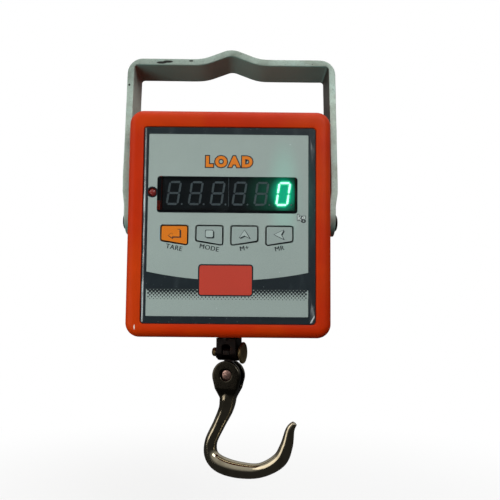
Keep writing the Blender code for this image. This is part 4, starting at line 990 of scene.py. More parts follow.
def rear_screws():
    for number, place in enumerate(screw_places(), start=1):
        node = f"rear_screw_{number}"
        low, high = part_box(node)
        head, crown = high.y - 2.3 * MM, high.y
        profile = profile_from(low.y, 1, (1.0, 0), (1.45, 1)) + profile_from(head, 1, (1.45, 0), (2.8, 0))
        profile += profile_from(crown, -1, (2.8, 0.9), (2.5, 0.4), (2.0, 0.1), (1.4, 0))
        screw = turned(bmesh.new(), "Y", place, profile)
        cross = plus_sign(place, 1.5 * MM, 0.33 * MM)
        recess = prism(bmesh.new(), "Y", cross, crown - 1.1 * MM, crown + THROUGH)
        piece(f"cover_screw_{number}", combined(screw, recess), LOOK["zinc"], "case", node)


# The panel


def overlay_holes(grow):
    """Cutters for the window and the keys, grown by this much past the holes in the sheet."""
    holes = bmesh.new()
    span = (PANEL_FRONT - THROUGH, PANEL_FRONT + THROUGH)
    prism(holes, "Y", window_outline(grow), *span)
    for name in KEYS:
        prism(holes, "Y", key_outline(name, FIT_GAP + grow), *span)
    return holes, span


def overlay():
    sheet = loft(bmesh.new(), [recess_ring(0.0, sheet_high.y), recess_ring(0.0, PANEL_FRONT)])
    holes, span = overlay_holes(0.0)
    sheet = combined(sheet, holes)
    sheet = combined(sheet, rod(bmesh.new(), "Y", LAMP_CENTRE, LAMP_RADIUS + FIT_GAP, *span))
    piece("overlay_sheet", sheet, LOOK["sheet"], "case", "graphic_overlay")


SILVER_SIZE = (90.5 * MM, 103.1 * MM)
# heights and places on the print, from its centre
PATCH = (-15.6 * MM, 13.7 * MM, -39.6 * MM, -23.2 * MM)  # left, right, bottom, top
BAND_LOW = -36.6 * MM
BOWL_LOW, BOWL_DEPTH = -31.5 * MM, 4.9 * MM
HEADING_PLACE = (0.2 * MM, 35.6 * MM)
UNIT_PLACE = (41.3 * MM, 4.2 * MM)
OUTLINE = 0.8 * MM  # width of the dark line round the patch
LABELS = {"tare": "TARE", "mode": "MODE", "m_plus": "M+", "mr": "MR"}
LABEL_TILT = radians(11)
LABEL_DROP = 2.75 * MM  # from the middle of a key's lower edge to its label
LABEL_BOLD = 0.1 * MM


def panel(x, z):
    """A point of the printed panel from its centre."""
    return Vector((PANEL_CENTRE[0] + x, PANEL_CENTRE[1] + z))


def patch_outline(grow=0.0):
    left, right, bottom, top = PATCH
    corners = rectangle(left - grow, right + grow, bottom - grow, top + grow)
    return [panel(*p) for p in rounded(corners, 1.1 * MM + grow, steps=8)]


def band_outline():
    """The dark band across the panel: a shallow bowl above, straight below."""
    half = SILVER_SIZE[0] / 2 + THROUGH
    steps = 24
    bowl = []
    for i in range(steps + 1):
        x = half * (1 - 2 * i / steps)
        bowl.append((x, BOWL_LOW + BOWL_DEPTH * (x / half) ** 2))
    return [panel(*p) for p in [(-half, BAND_LOW), (half, BAND_LOW)] + bowl]


def silver_print():
    """The silver area, with the dark sheet showing in its openings as outlines and as the band."""
    outline = [panel(*p) for p in rounded(centred((0.0, 0.0), SILVER_SIZE), 0.4 * MM, steps=3)]
    silver = prism(bmesh.new(), "Y", outline, PANEL_FRONT, PANEL_FRONT - INK)
    holes, span = overlay_holes(0.12 * MM)
    silver = combined(silver, holes)
    silver = combined(silver, prism(bmesh.new(), "Y", band_outline(), *span))
    silver = combined(silver, rod(bmesh.new(), "Y", LAMP_CENTRE, LAMP_RADIUS + 0.95 * MM, *span))
    silver = combined(silver, prism(bmesh.new(), "Y", patch_outline(OUTLINE), *span))
    piece("print_silver", silver, LOOK["silver"], "case")


def halftone():
    """Rows of dark dots that shrink below the band."""
    dots = bmesh.new()
    pitch, row_pitch, rows = 2.0 * MM, 1.05 * MM, 6
    columns = int(SILVER_SIZE[0] / pitch)
    for row in range(rows):
        radius = 0.88 * MM - 0.12 * MM * row
        for column in range(columns):
            x = (column + 0.5 + 0.5 * (row % 2) - columns / 2) * pitch
            z = BAND_LOW - (row + 0.1) * row_pitch
            inside_patch = PATCH[0] - OUTLINE < x < PATCH[1] + OUTLINE and z > PATCH[2] - OUTLINE
            if abs(x) < SILVER_SIZE[0] / 2 - radius and not inside_patch:
                outline = circle(panel(x, z), radius, 12)
                prism(dots, "Y", outline, PANEL_FRONT - INK, PANEL_FRONT - 1.5 * INK)
    piece("print_halftone", dots, LOOK["ink"], "case")


def red_patch():
    patch = prism(bmesh.new(), "Y", patch_outline(), PANEL_FRONT, PANEL_FRONT - INK)
    piece("print_patch", patch, LOOK["red_ink"], "case")


def labels():
    """The key names along the keys' lower edges, and the unit with a pale face."""
    dark, face = bmesh.new(), PANEL_FRONT - INK
    for name, text in LABELS.items():
        centre, _, top, sides = KEYS[name]
        turn = LABEL_TILT if sides[0] > sides[1] else -LABEL_TILT
        low = top - (sides[0] + sides[1]) / 2
        # three copies a little apart thicken the strokes and keep the letters' shapes
        for step, shift in enumerate((-LABEL_BOLD, 0.0, LABEL_BOLD)):
            place = (centre + shift, low - LABEL_DROP)
            put_lettering(dark, text, place, face - (0.5 + 0.2 * step) * INK, 2.6 * MM, turn, spacing=1.10)
    unit, size = panel(*UNIT_PLACE), 3.3 * MM
    put_lettering(dark, "kg", unit, face - INK / 2, size, weight=0.44 * MM, spacing=1.12)
    piece("print_labels", dark, LOOK["ink"], "case")
    pale = bmesh.new()
    put_lettering(pale, "kg", unit, face - 1.5 * INK, size, weight=0.10 * MM, spacing=1.12)
    piece("print_unit", pale, LOOK["pale_ink"], "case")


def heading():
    """A plain word in orange on a dark edge."""
    face, place = PANEL_FRONT - INK, panel(*HEADING_PLACE)
    layers = (("print_heading_edge", "ink", 0.5, 1.1 * MM), ("print_heading", "orange_ink", 1.5, 0.5 * MM))
    for name, look, level, weight in layers:
        letters = bmesh.new()
        put_lettering(letters, "LOAD", place, face - level * INK, 5.5 * MM, weight=weight, spacing=1.42)
        piece(name, letters, LOOK[look], "case")


ICONS = {
    # in mm: a return arrow, a square, an arrowhead pointing up and one pointing left
    "tare": [(-3.2, -1.0), (-1.2, 0.5), (-1.2, -0.3), (1.6, -0.3), (1.6, 2.3)]
    + [(2.9, 2.3), (2.9, -1.6), (-1.2, -1.6), (-1.2, -2.4)],
    "mode": [(-2.1, -1.8), (2.0, -1.8), (2.0, 2.0), (-2.1, 2.0)],
    "m_plus": [(0.0, 2.3), (2.8, -2.1), (0.0, -0.7), (-2.8, -2.1)],
    "mr": [(-2.9, 0.0), (2.3, 2.5), (0.9, 0.0), (2.3, -2.5)],
}


def keys():
    for name in KEYS:
        slot = "key_orange" if name == "tare" else "key_grey"
        solid_low, solid_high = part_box(f"key_{name}")
        face, back = solid_low.y, solid_high.y
        chamfer, play = 0.35 * MM, 0.1 * MM
        rings = [
            [in_space("Y", p, face) for p in key_outline(name, -play - chamfer)],
            [in_space("Y", p, face + chamfer) for p in key_outline(name, -play)],
            [in_space("Y", p, back - 0.7 * MM) for p in key_outline(name, -play)],
        ]
        flange = prism(bmesh.new(), "Y", key_outline(name, KEY_FLANGE), back - 1.0 * MM, back)
        cap = combined(loft(bmesh.new(), rings), flange, "UNION")
        piece(f"key_cap_{name}", cap, LOOK[slot], f"key_{name}", f"key_{name}")
        icon(name, face)


def icon(name, face):
    """A key's mark with a dark shadow to its lower right, printed on its face."""
    centre, _, top, sides = KEYS[name]
    middle = Vector((centre, top - (sides[0] + sides[1]) / 4 + 0.2 * MM))
    shape = [Vector(p) * MM for p in ICONS[name]]
    soft = 0.7 * MM if name == "mode" else 0.12 * MM
    shadow = bmesh.new()
    for step, grown in enumerate((1.16, 1.10, 1.10)):
        shift = middle + Vector((0.32 * MM, -0.28 * MM)) * step
        outline = rounded([p * grown for p in shape], soft, steps=3)
        level = face - 0.3 * INK * step
        prism(shadow, "Y", moved(outline, shift), level, level - 0.3 * INK)
    piece(f"icon_shadow_{name}", shadow, LOOK["ink"], f"key_{name}")
    outline = moved(rounded(shape, soft, steps=3), middle)
    mark = prism(bmesh.new(), "Y", outline, face - INK, face - 2 * INK)
    fill = LOOK["orange_ink"] if name == "tare" else LOOK["icon_ink"]
    piece(f"icon_{name}", mark, fill, f"key_{name}")


# The display

SEGMENTS = {
    # the centre of each bar and whether it stands, in half-widths and half-heights of the digit
    "a": (0, 1, False),
    "b": (1, 0.5, True),
    "c": (1, -0.5, True),
    "d": (0, -1, False),
    "e": (-1, -0.5, True),
    "f": (-1, 0.5, True),
    "g": (0, 0, False),
}
DIGIT_HALF = (3.05 * MM, 6.3 * MM)
BAR_HALF = 0.6 * MM
DIGIT_LEAN = radians(8)


def segment(centre, letter, grow=0.0):
    """The outline of one bar of a digit, with mitred ends."""
    across, up, standing = SEGMENTS[letter]
    half_w, half_h = DIGIT_HALF
    thick = BAR_HALF + grow
    length = (half_h / 2 if standing else half_w) - 0.18 * MM + grow
    bar = [
        (-length, 0.0),
        (-length + thick, -thick),
        (length - thick, -thick),
        (length, 0.0),
        (length - thick, thick),
        (-length + thick, thick),
    ]
    if standing:
        bar = [(-v, u) for u, v in bar]
    bar = [(u + across * half_w, v + up * half_h) for u, v in bar]
    return moved(bar, centre, lean=DIGIT_LEAN)


def digits():
    """Six digits of seven bars and a dot: five dark ones, and a lit nought with a glow round its bars."""
    face = LED_FACE_Y
    unlit, lit, glow = bmesh.new(), bmesh.new(), bmesh.new()
    for number in range(6):
        centre = (LED_SEAM + (number - 2.5) * DIGIT_PITCH, LED_MIDDLE)
        on = "abcdef" if number == 5 else ""
        for letter in SEGMENTS if number < 5 else on:
            target, proud = (lit, 3 * INK) if letter in on else (unlit, 2 * INK)
            prism(target, "Y", segment(centre, letter), face, face - proud)
            if letter in on:
                prism(glow, "Y", segment(centre, letter, 0.8 * MM), face, face - INK)
        dot = (centre[0] + 4.55 * MM, centre[1] - DIGIT_HALF[1])
        prism(unlit, "Y", circle(dot, 0.55 * MM, 20), face, face - 2 * INK)
    # the moulded edge where the two modules meet
    half = 0.16 * MM
    ridge = rectangle(LED_SEAM - half, LED_SEAM + half, LED_MIDDLE - 7.5 * MM, LED_MIDDLE + 8.9 * MM)
    prism(unlit, "Y", ridge, face, face - 2 * INK)
    piece("digits_unlit", unlit, LOOK["led_off"], "case")
    piece("digits_lit", lit, LOOK["led_lit"], "case")
    piece("digits_glow", glow, LOOK["led_glow"], "case")


def led_bodies():
    for side in ("left", "right"):
        node = f"led_module_{side}"
        low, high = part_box(node)
        back = low.y + 6.8 * MM  # of the moulded body, ahead of its pins
        body = box(bmesh.new(), low, (high.x, back, high.z))
        piece(f"led_body_{side}", body, LOOK["led_case"], "case", node, bevel=0.25 * MM)


def window():
    pane = prism(bmesh.new(), "Y", window_outline(-FIT_GAP), pane_low.y, pane_high.y)
    span = (pane_low.y - THROUGH, pane_high.y + THROUGH)
    notch = rod(bmesh.new(), "Y", LAMP_CENTRE, LAMP_RADIUS + 2 * FIT_GAP, *span)
    piece("window_pane", combined(pane, notch), LOOK["window"], "case", "display_window")


def display_foam():
    """Black foam tape round the modules, on the case wall behind the window."""
    outer = rectangle(pane_low.x - 1 * MM, pane_high.x + 1 * MM, pane_low.z - 1 * MM, pane_high.z)
    foam = prism(bmesh.new(), "Y", outer, RECESS_FLOOR - 0.28 * MM, RECESS_FLOOR - 0.02 * MM)
    edge = LED_EDGE + 0.01 * MM
    span = (RECESS_FLOOR - THROUGH, RECESS_FLOOR + THROUGH)
    modules = rectangle(led_low.x - edge, led_high.x + edge, led_low.z - edge, led_high.z + THROUGH)
    foam = combined(foam, prism(bmesh.new(), "Y", modules, *span))
    across = (pane_low.x - 2 * MM, led_low.x - edge - 0.5 * MM)
    short = rectangle(*across, pane_low.z + 1.2 * MM, pane_low.z + 6.6 * MM)
    foam = combined(foam, prism(bmesh.new(), "Y", short, *span))
    piece("display_foam", foam, LOOK["foam"], "case")


def lamp():
    front = lamp_low.y
    lens = profile_from(front, 1, (0.3, 0), (1.0, 0.08), (1.6, 0.35), (1.95, 0.8))
    lens += [(LAMP_RADIUS, front + 1.5 * MM), (LAMP_RADIUS, lamp_high.y)]
    lens = turned(bmesh.new(), "Y", LAMP_CENTRE, lens)
    piece("lamp_lens", lens, LOOK["lamp"], "case", "charge_lamp")


def protective_film():
    """Clear film over the panel, cut a little askew, with a lifted edge; the crease of a turned corner is
    only drawn in its material.
    """
    inset = 0.6 * MM
    low_x, high_x = sheet_low.x + inset, sheet_high.x - inset
    low_z, high_z = sheet_low.z + inset, sheet_high.z - inset
    columns, rows = 60, 70
    rest, room = PANEL_FRONT - 0.28 * MM, 0.22 * MM
    bm = bmesh.new()
    grid = []
    for j in range(rows + 1):
        line = []
        for i in range(columns + 1):
            u, v = i / columns, j / rows
            sway = 0.35 * MM * noise.noise(Vector((v * 9, 3.0, 0.0)))
            x = low_x + (high_x - low_x) * u + sway * (1 - u) ** 8
            z = low_z + (high_z - low_z) * v
            edge = max(abs(2 * u - 1) ** 24, abs(2 * v - 1) ** 28)
            lift = room * edge * (0.55 + 0.45 * noise.noise(Vector((x * 160, z * 160, 7.0))))
            line.append(bm.verts.new((x, rest - max(lift, 0.0), z)))
        grid.append(line)
    for j in range(rows):
        for i in range(columns):
            bm.faces.new((grid[j][i], grid[j][i + 1], grid[j + 1][i + 1], grid[j + 1][i]))
    film = piece("protective_film", bm, LOOK["film"], "case")
    thick = film.modifiers.new("Thickness", "SOLIDIFY")
    thick.thickness = 0.04 * MM
    thick.offset = 0.0


# The handle and its pivots

STRAP_HALF = 14.0 * MM
STRAP_THICK = 4.2 * MM


def offset_line(points, distance):
    """An open line moved sideways to its left by a distance, with mitred corners."""
    points = [Vector(p) for p in points]
    result = []
    for i, point in enumerate(points):
        back = (point - points[i - 1]).normalized() if i else (points[1] - point).normalized()
        ahead = (points[i + 1] - point).normalized() if i + 1 < len(points) else back
        across = Vector((-back.y, back.x)) + Vector((-ahead.y, ahead.x))
        across.normalize()
        result.append(point + across * (distance / across.dot(Vector((-back.y, back.x)))))
    return result


def handle_lines():
    """The outer and inner faces of the strap, from foot to foot, as matching lines of (across, up)."""
    half = STRAP_THICK / 2
    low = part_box("handle")[0]
    top, foot = -1.5 * MM - half, low.z
    slope_start = 17.0 * MM
    corner, bow, end = 62.2 * MM - half, 63.6 * MM - half, 62.5 * MM - half
    leg = [(bow, -74 * MM), (bow, -82 * MM), (end, -90 * MM), (end, foot)]
    right = [(slope_start, top), (corner, top)] + leg
    peak = (0.0, 2.86 * MM)
    centre = [(-x, z) for x, z in reversed(right)] + [peak] + right
    # the bending radius at each point, in mm
    outer_right = [26, 9.2, 30, 7, 6, 0]
    inner_right = [30, 1.8, 28, 5, 7, 0]
    outer_radii = [r * MM for r in outer_right[::-1] + [13.0] + outer_right]
    inner_radii = [r * MM for r in inner_right[::-1] + [8.0] + inner_right]
    steps = 8
    outer = rounded(offset_line(centre, half), outer_radii, closed=False, steps=steps)
    inner = rounded(offset_line(centre, -half), inner_radii, closed=False, steps=steps)
    return outer, inner


def filled_in(first, second, coarse, fine, below):
    """Both lines with points added at matching places: coarsely, or finely below a height."""
    lines = [first[:1], second[:1]]
    for i in range(1, len(first)):
        spacing = fine if min(first[i].y, first[i - 1].y) < below else coarse
        parts = max(1, ceil((first[i] - first[i - 1]).length / spacing))
        for part in range(1, parts + 1):
            for line, source in zip(lines, (first, second)):
                line.append(source[i - 1].lerp(source[i], part / parts))
    return lines


def strap_section(half_width, edge=0.7 * MM):
    """Points round the strap's section, as (share from inner to outer face, along Y)."""
    outline = rounded(centred((0.0, 0.0), (STRAP_THICK, 2 * half_width)), edge, steps=4)
    dense = []
    for i, point in enumerate(outline):
        following = outline[(i + 1) % len(outline)]
        parts = max(1, round((following - point).length / (2.0 * MM)))
        dense += [point.lerp(following, part / parts) for part in range(parts)]
    return [(p.x / STRAP_THICK + 0.5, p.y) for p in dense]


def handle():
    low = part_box("handle")[0]
    foot_round = 12.5 * MM
    outer, inner = filled_in(*handle_lines(), 1.6 * MM, 0.5 * MM, low.z + foot_round)
    rings = []
    for out_point, in_point in zip(outer, inner):
        rise = max(min(out_point.y, in_point.y) - low.z, 0.0)
        half_width = STRAP_HALF
        if rise < foot_round:
            half_width += sqrt(max(foot_round**2 - (foot_round - rise) ** 2, 0.0)) - foot_round
        ring = []
        for share, along in strap_section(STRAP_HALF):
            place = in_point.lerp(out_point, share)
            ring.append(Vector((place.x, along * half_width / STRAP_HALF, place.y)))
        rings.append(ring)
    strap = loft(bmesh.new(), rings)
    holes = bmesh.new()
    for side in (-1, 1):
        rod(holes, "X", (0.0, HINGE_Z), PIVOT_HOLE, side * 56 * MM, side * 66 * MM)
    strap = combined(strap, holes)
    roughened(strap, 0.16 * MM, 9 * MM, seed=4.0)
    for centre, reach in GOUGES:
        for vert in strap.verts:
            shift = vert.co - Vector(centre)
            distance = sqrt(sum((s / (r * 1.15)) ** 2 for s, r in zip(shift, reach)))
            if distance < 1:
                vert.co.y += 0.4 * MM * (1 - distance**2)
    piece("handle_strap", strap, LOOK["cast"], "handle", "handle", angle=50)


def pivots():
    axis = (0.0, HINGE_Z)
    for name, side in (("left", -1), ("right", 1)):
        node = f"pivot_bolt_{name}"
        low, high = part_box(node)
        tip, crown = (low.x, high.x) if side > 0 else (high.x, low.x)
        head = crown - side * 2.2 * MM
        profile = profile_from(tip, side, (2.6, 0), (3.0, 0.4)) + profile_from(head, side, (3.0, 0), (5.0, 0))
        profile += profile_from(head, side, (5.2, 0.2), (5.2, 0.8), (4.9, 1.3), (4.2, 1.8), (3.3, 2.1))
        bolt = turned(bmesh.new(), "X", axis, profile + [(2.4 * MM, crown)], steps=FINE)
        span = (crown - side * 1.6 * MM, crown + side * THROUGH)
        bolt = combined(bolt, prism(bmesh.new(), "X", hexagon(3.6 * MM, axis), *span))
        piece(f"pivot_screw_{name}", bolt, LOOK["black_steel"], "case", node)

        node = f"pivot_washer_{name}"
        low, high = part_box(node)
        profile = washer_profile(PIVOT_HOLE, 8.0 * MM, low.x, high.x, 0.15 * MM)
        washer = turned(bmesh.new(), "X", axis, profile, tube=True, steps=FINE)
        piece(f"nylon_washer_{name}", washer, LOOK["nylon"], "case", node)


# The fork, the link and the hook, made square to the axes and then turned with the swivel


def swivelled(bm):
    bm.transform(SWIVEL_TURN)
    return bm


def swivel_fork():
    half_w, half_d, gap = 6.4 * MM, 4.8 * MM, 2.6 * MM
    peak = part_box("swivel_fork")[1].z
    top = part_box("bottom_bush")[0].z - FIT_GAP
    side_view = arc((0.0, CROSS_PIN_Z), half_d, 180, 360, 28)
    side_view += [Vector((half_d, top)), Vector((-half_d, top))]
    fork = prism(bmesh.new(), "X", side_view, -half_w, half_w)
    stud = [(5 * MM, top - THROUGH), (5 * MM, peak - 0.8 * MM), (4.2 * MM, peak)]
    fork = combined(fork, turned(bmesh.new(), "Z", (0.0, 0.0), stud), "UNION")
    slot_top, below = CROSS_PIN_Z + half_d - 0.1 * MM, CROSS_PIN_Z - 10 * MM
    view = [(-gap, below), (gap, below), (gap, slot_top), (-gap, slot_top)]
    view = rounded(view, [0, 0, 1.6 * MM, 1.6 * MM], steps=6)
    fork = combined(fork, prism(bmesh.new(), "Y", view, -half_d - THROUGH, half_d + THROUGH))
    span = (-half_w - THROUGH, half_w + THROUGH)
    bore = rod(bmesh.new(), "X", (0.0, CROSS_PIN_Z), CROSS_PIN_HOLE, *span)
    fork = softened(combined(fork, bore), 0.22 * MM, 3)
    piece("fork", swivelled(fork), LOOK["black_steel"], "swivel", "swivel_fork", angle=80)


def cross_pin():
    """A pin with a disc head at one end, and at the other a groove with a clip in it."""
    axis, head, groove = (0.0, CROSS_PIN_Z), 6.7 * MM, -6.7 * MM
    profile = profile_from(groove, 1, (0.7, -3.9), (1.5, -3.8), (2.2, -3.5), (2.65, -2.9), (2.65, -0.9))
    profile += profile_from(groove, 1, (2.1, -0.9), (2.1, 0.2), (2.65, 0.2))
    profile += profile_from(head, 1, (2.65, 0), (3.4, 0), (6.0, 1.45), (6.3, 1.7), (6.4, 2.0), (6.4, 2.5))
    profile += profile_from(head, 1, (6.2, 2.8), (5.7, 3.0), (5.3, 2.9), (2.0, 2.85))
    pin = turned(bmesh.new(), "X", axis, profile, steps=FINE)
    piece("fork_pin", swivelled(pin), LOOK["yellow_zinc"], "swivel", "cross_pin")
    profile = washer_profile(2.4 * MM, 4.0 * MM, groove - 0.6 * MM, groove, 0.1 * MM)
    clip = turned(bmesh.new(), "X", axis, profile, tube=True)
    piece("fork_pin_clip", swivelled(clip), LOOK["black_steel"], "swivel", "cross_pin_clip")


def link():
    """An eye across the fork and one across the hook, at right angles, softened into one forging."""
    drop = HOOK_PIN_Z - CROSS_PIN_Z
    thin, flat, eye_radius = 2.3 * MM, 2.1 * MM, 4.4 * MM
    right = [(flat, drop / 2 - 1 * MM), (flat, -3.8 * MM), (eye_radius, -1.2 * MM)]
    left = [(-y, z) for y, z in reversed(right)]
    upper = arc((0.0, 0.0), eye_radius, 0, 180, 24) + left + right
    block = prism(bmesh.new(), "X", upper, -thin, thin)
    neck, shoulder = thin + 0.4 * MM, -5.2 * MM
    lower = arc((0.0, drop), 5.8 * MM, 155, 385, 36) + [(neck, shoulder), (-neck, shoulder)]
    eye = prism(bmesh.new(), "Y", lower, -flat + 0.05 * MM, flat - 0.05 * MM)
    block = combined(block, eye, "UNION")
    reach = 8 * MM
    bores = rod(bmesh.new(), "X", (0.0, 0.0), CROSS_PIN_HOLE, -reach, reach)
    rod(bores, "Y", (0.0, drop), HOOK_PIN_HOLE, -reach, reach)
    block = softened(combined(block, bores), 0.2 * MM, 3)
    block.transform(Matrix.Translation((0.0, 0.0, CROSS_PIN_Z)))
    piece("link", swivelled(block), LOOK["black_steel"], "link", "link_block", angle=80)


# Centre line of the hook below its pin: across, down, section radius
HOOK_LINE = [
    (0.4 * MM, -9.0 * MM, 4.4 * MM),
    (-0.2 * MM, -14.5 * MM, 5.0 * MM),
    (-1.6 * MM, -20.8 * MM, 4.4 * MM),
    (-5.7 * MM, -29.4 * MM, 3.8 * MM),
    (-10.8 * MM, -40.2 * MM, 3.8 * MM),
    (-10.3 * MM, -48.3 * MM, 4.3 * MM),
    (-4.2 * MM, -53.0 * MM, 4.9 * MM),
    (7.5 * MM, -55.0 * MM, 4.7 * MM),
    (20.4 * MM, -53.9 * MM, 4.1 * MM),
    (31.6 * MM, -47.4 * MM, 4.3 * MM),
    (36.0 * MM, -39.0 * MM, 3.7 * MM),
    (38.2 * MM, -29.6 * MM, 2.6 * MM),
    (40.9 * MM, -25.6 * MM, 1.6 * MM),
]


def smooth_line(knots, steps):
    """A curve through the knots (Catmull-Rom), with each coordinate treated alike."""
    knots = [Vector(k) for k in knots]
    ends = [2 * knots[0] - knots[1]] + knots + [2 * knots[-1] - knots[-2]]
    points = []
    for i in range(1, len(ends) - 2):
        a, b, c, d = ends[i - 1 : i + 3]
        for step in range(steps):
            t = step / steps
            square, cube = 2 * a - 5 * b + 4 * c - d, 3 * b - a - 3 * c + d
            points.append(0.5 * (2 * b + (c - a) * t + square * t**2 + cube * t**3))
    return points + [knots[-1]]


def hook_bar():
    """The round bar of the hook, with its tip drawn out into a rounded point."""
    line = smooth_line(HOOK_LINE, 8)
    rings = []
    sides = 40
    angles = [2 * pi * side / sides for side in range(sides)]
    deep = Vector((0.0, 1.0, 0.0))
    for i, point in enumerate(line):
        ahead = line[min(i + 1, len(line) - 1)] - line[max(i - 1, 0)]
        length = hypot(ahead.x, ahead.y)
        across = Vector((-ahead.y / length, 0.0, ahead.x / length))
        centre = Vector((point.x, 0.0, point.y))
        rings.append([centre + point.z * (cos(a) * across + sin(a) * deep) for a in angles])
    return loft(bmesh.new(), rings)


def hook_head():
    """The forged head: a round eye, flat on both sides, that narrows and thins into the neck."""
    half, eye_radius, eye_drop, steps = 5.2 * MM, 8.9 * MM, 0.6 * MM, 28
    angles = [radians(82 - 102 * i / steps) for i in range(steps + 1)]
    sections = [(eye_radius * cos(a), half, eye_radius * sin(a) - eye_drop) for a in angles]
    sections += [
        (7.2 * MM, half, -8.0 * MM),
        (4.6 * MM, 4.2 * MM, -13.0 * MM),
        (3.3 * MM, 3.2 * MM, -17.0 * MM),
    ]
    rings = []
    for x, y, z in sections:
        corner = min(1.0 * MM, x * 0.45, y * 0.45)
        rings.append([in_space("Z", p, z) for p in rounded(rectangle(-x, x, -y, y), corner, steps=3)])
    return loft(bmesh.new(), rings)


def hook():
    head = combined(hook_head(), hook_bar(), "UNION")
    half_slot, above, bottom, reach = 2.4 * MM, 12 * MM, -5.2 * MM, 11 * MM
    view = [(-half_slot, above)] + arc((0.0, bottom), half_slot, 180, 360, 16) + [(half_slot, above)]
    head = combined(head, prism(bmesh.new(), "X", view, -reach, reach))
    head = combined(head, rod(bmesh.new(), "Y", (0.0, 0.0), HOOK_PIN_HOLE, -7 * MM, 7 * MM))
    head = softened(head, 0.3 * MM, 5)
    head.transform(Matrix.Translation((0.0, 0.0, HOOK_PIN_Z)))
    piece("hook_forging", swivelled(head), LOOK["hook"], "hook", "hook", angle=80)

    dome = profile_from(4.2 * MM, -1, (0.5, 0), (1.6, 0.05), (2.6, 0.2), (3.1, 0.45), (3.3, 0.8))
    pin = turned(bmesh.new(), "Y", (0.0, 0.0), [(r, -y) for r, y in dome] + dome[::-1])
    pin.transform(Matrix.Translation((0.0, 0.0, HOOK_PIN_Z)))
    piece("hook_pin_peened", swivelled(pin), LOOK["pin"], "hook", "hook_pin")


# The fittings under the case


def bush():
    low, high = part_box("bottom_bush")
    profile = profile_from(low.z, 1, (5.4, 0.2), (5.6, 0), (8.1, 0), (8.5, 0.3), (8.6, 0.9), (7.0, 0.9))
    profile += profile_from(high.z, 1, (7.0, 0), (5.4, 0))
    made = turned(bmesh.new(), "Z", (0.0, 0.0), profile, tube=True, steps=FINE)
    piece("stud_bush", made, LOOK["black_plastic"], "case", "bottom_bush")


def switch():
    low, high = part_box("switch_housing")
    middle = flat_centre("switch_housing")
    seat, edge = low.z + 0.8 * MM, 0.35 * MM
    inner = rounded(centred(middle, SWITCH_FLANGE, -edge), 1.0 * MM)
    outer = rounded(centred(middle, SWITCH_FLANGE), 1.2 * MM)
    levels = ((inner, low.z), (outer, low.z + edge), (outer, seat))
    housing = loft(bmesh.new(), [[in_space("Z", p, level) for p in outline] for outline, level in levels])
    body = prism(bmesh.new(), "Z", centred(middle, SWITCH_BODY), seat - 0.4 * MM, high.z - 6 * MM)
    housing = combined(housing, body, "UNION")
    blades = bmesh.new()
    for x in (-4.5 * MM, 4.5 * MM):
        blade = centred((middle[0] + x, 0.0), (0.8 * MM, 4.8 * MM))
        prism(blades, "Z", blade, high.z - 7 * MM, high.z)
    housing = combined(housing, blades, "UNION")
    well = rounded(centred(middle, SWITCH_WELL), 0.4 * MM, steps=3)
    housing = combined(housing, prism(bmesh.new(), "Z", well, low.z - THROUGH, low.z + 8 * MM))
    piece("switch_body", housing, LOOK["black_plastic"], "case", "switch_housing")


def rocker():
    """The rocker, hollowed a little along its face, with a bar and a ring engraved in it."""
    half, dip, side = 6.6 * MM, 0.2 * MM, 4.6 * MM
    face = -4.0 * MM  # below the pivot
    foot, shoulder, top = 2.4 * MM, face + 1.8 * MM, face + 5.8 * MM
    outline = [
        (-half, face - dip),
        (0.0, face + 0.5 * MM),
        (half, face - dip),
        (half - 0.4 * MM, shoulder),
        (foot, top),
        (-foot, top),
        (-half + 0.4 * MM, shoulder),
    ]
    radii = [0.3 * MM, 9 * MM, 0.3 * MM] + [0.8 * MM] * 4
    cap = prism(bmesh.new(), "Y", rounded(outline, radii, steps=8), -side, side)
    before, deep = face - 2 * MM, face + 0.25 * MM
    marks = prism(bmesh.new(), "Z", centred((-4.2 * MM, 0.0), (0.5 * MM, 3.0 * MM)), before, deep)
    outer, inner = 1.5 * MM, 1.1 * MM
    ring = [(inner, before), (outer, before), (outer, deep), (inner, deep)]
    turned(marks, "Z", (4.0 * MM, 0.0), ring, tube=True, steps=COARSE)
    cap = combined(cap, marks)
    rest_tilt = Matrix.Rotation(radians(10), 4, "Y")
    cap.transform(Matrix.Translation(JOINTS["power_toggle"]["pos_m"]) @ rest_tilt)
    piece("rocker_cap", cap, LOOK["rocker"], "power_rocker", "power_rocker", bevel=0.12 * MM)


def jack():
    low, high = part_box("charging_jack")
    profile = profile_from(low.z, 1, (3.1, 0), (5.55, 0), (5.8, 0.1), (5.9, 0.35), (5.9, 0.8), (4.0, 0.8))
    profile += profile_from(high.z, 1, (4.0, 0), (1.6, 0))
    profile += profile_from(low.z, 1, (1.6, 9), (2.8, 9), (2.8, 0.3))
    made = turned(bmesh.new(), "Z", flat_centre("charging_jack"), profile, tube=True, steps=FINE)
    piece("jack_socket", made, LOOK["black_plastic"], "case", "charging_jack")


def finish_inside():
    """The pieces inside the case keep their CAD shape and get their own materials."""
    looks = {
        "rubber": ["case_gasket"],
        "board": ["main_board"],
        "battery": ["battery_cell_left", "battery_cell_right"],
        "black_plastic": ["battery_holder_left", "battery_holder_right"],
        "chip": ["controller_chip", "converter_chip", "buzzer"]
        + [f"switch_button_{name}" for name in KEYS],
        "connector": ["load_cell_connector", "battery_connector"],
        "can": ["capacitor"],
        "steel": [f"key_switch_{name}" for name in KEYS] + ["swivel_yoke"],
        "zinc": ["load_frame", "load_cell_washer", "load_cell_bolt", "swivel_nut", "charging_jack_nut"]
        + ["pivot_nut_left", "pivot_nut_right"],
        "aluminium": ["load_cell"],
        "bronze": ["thrust_washer"],
    }
    for look, names in looks.items():
        for name in names:
            for material_slot in frame["nodes"][name].material_slots:
                material_slot.material = LOOK[look]


# The stage


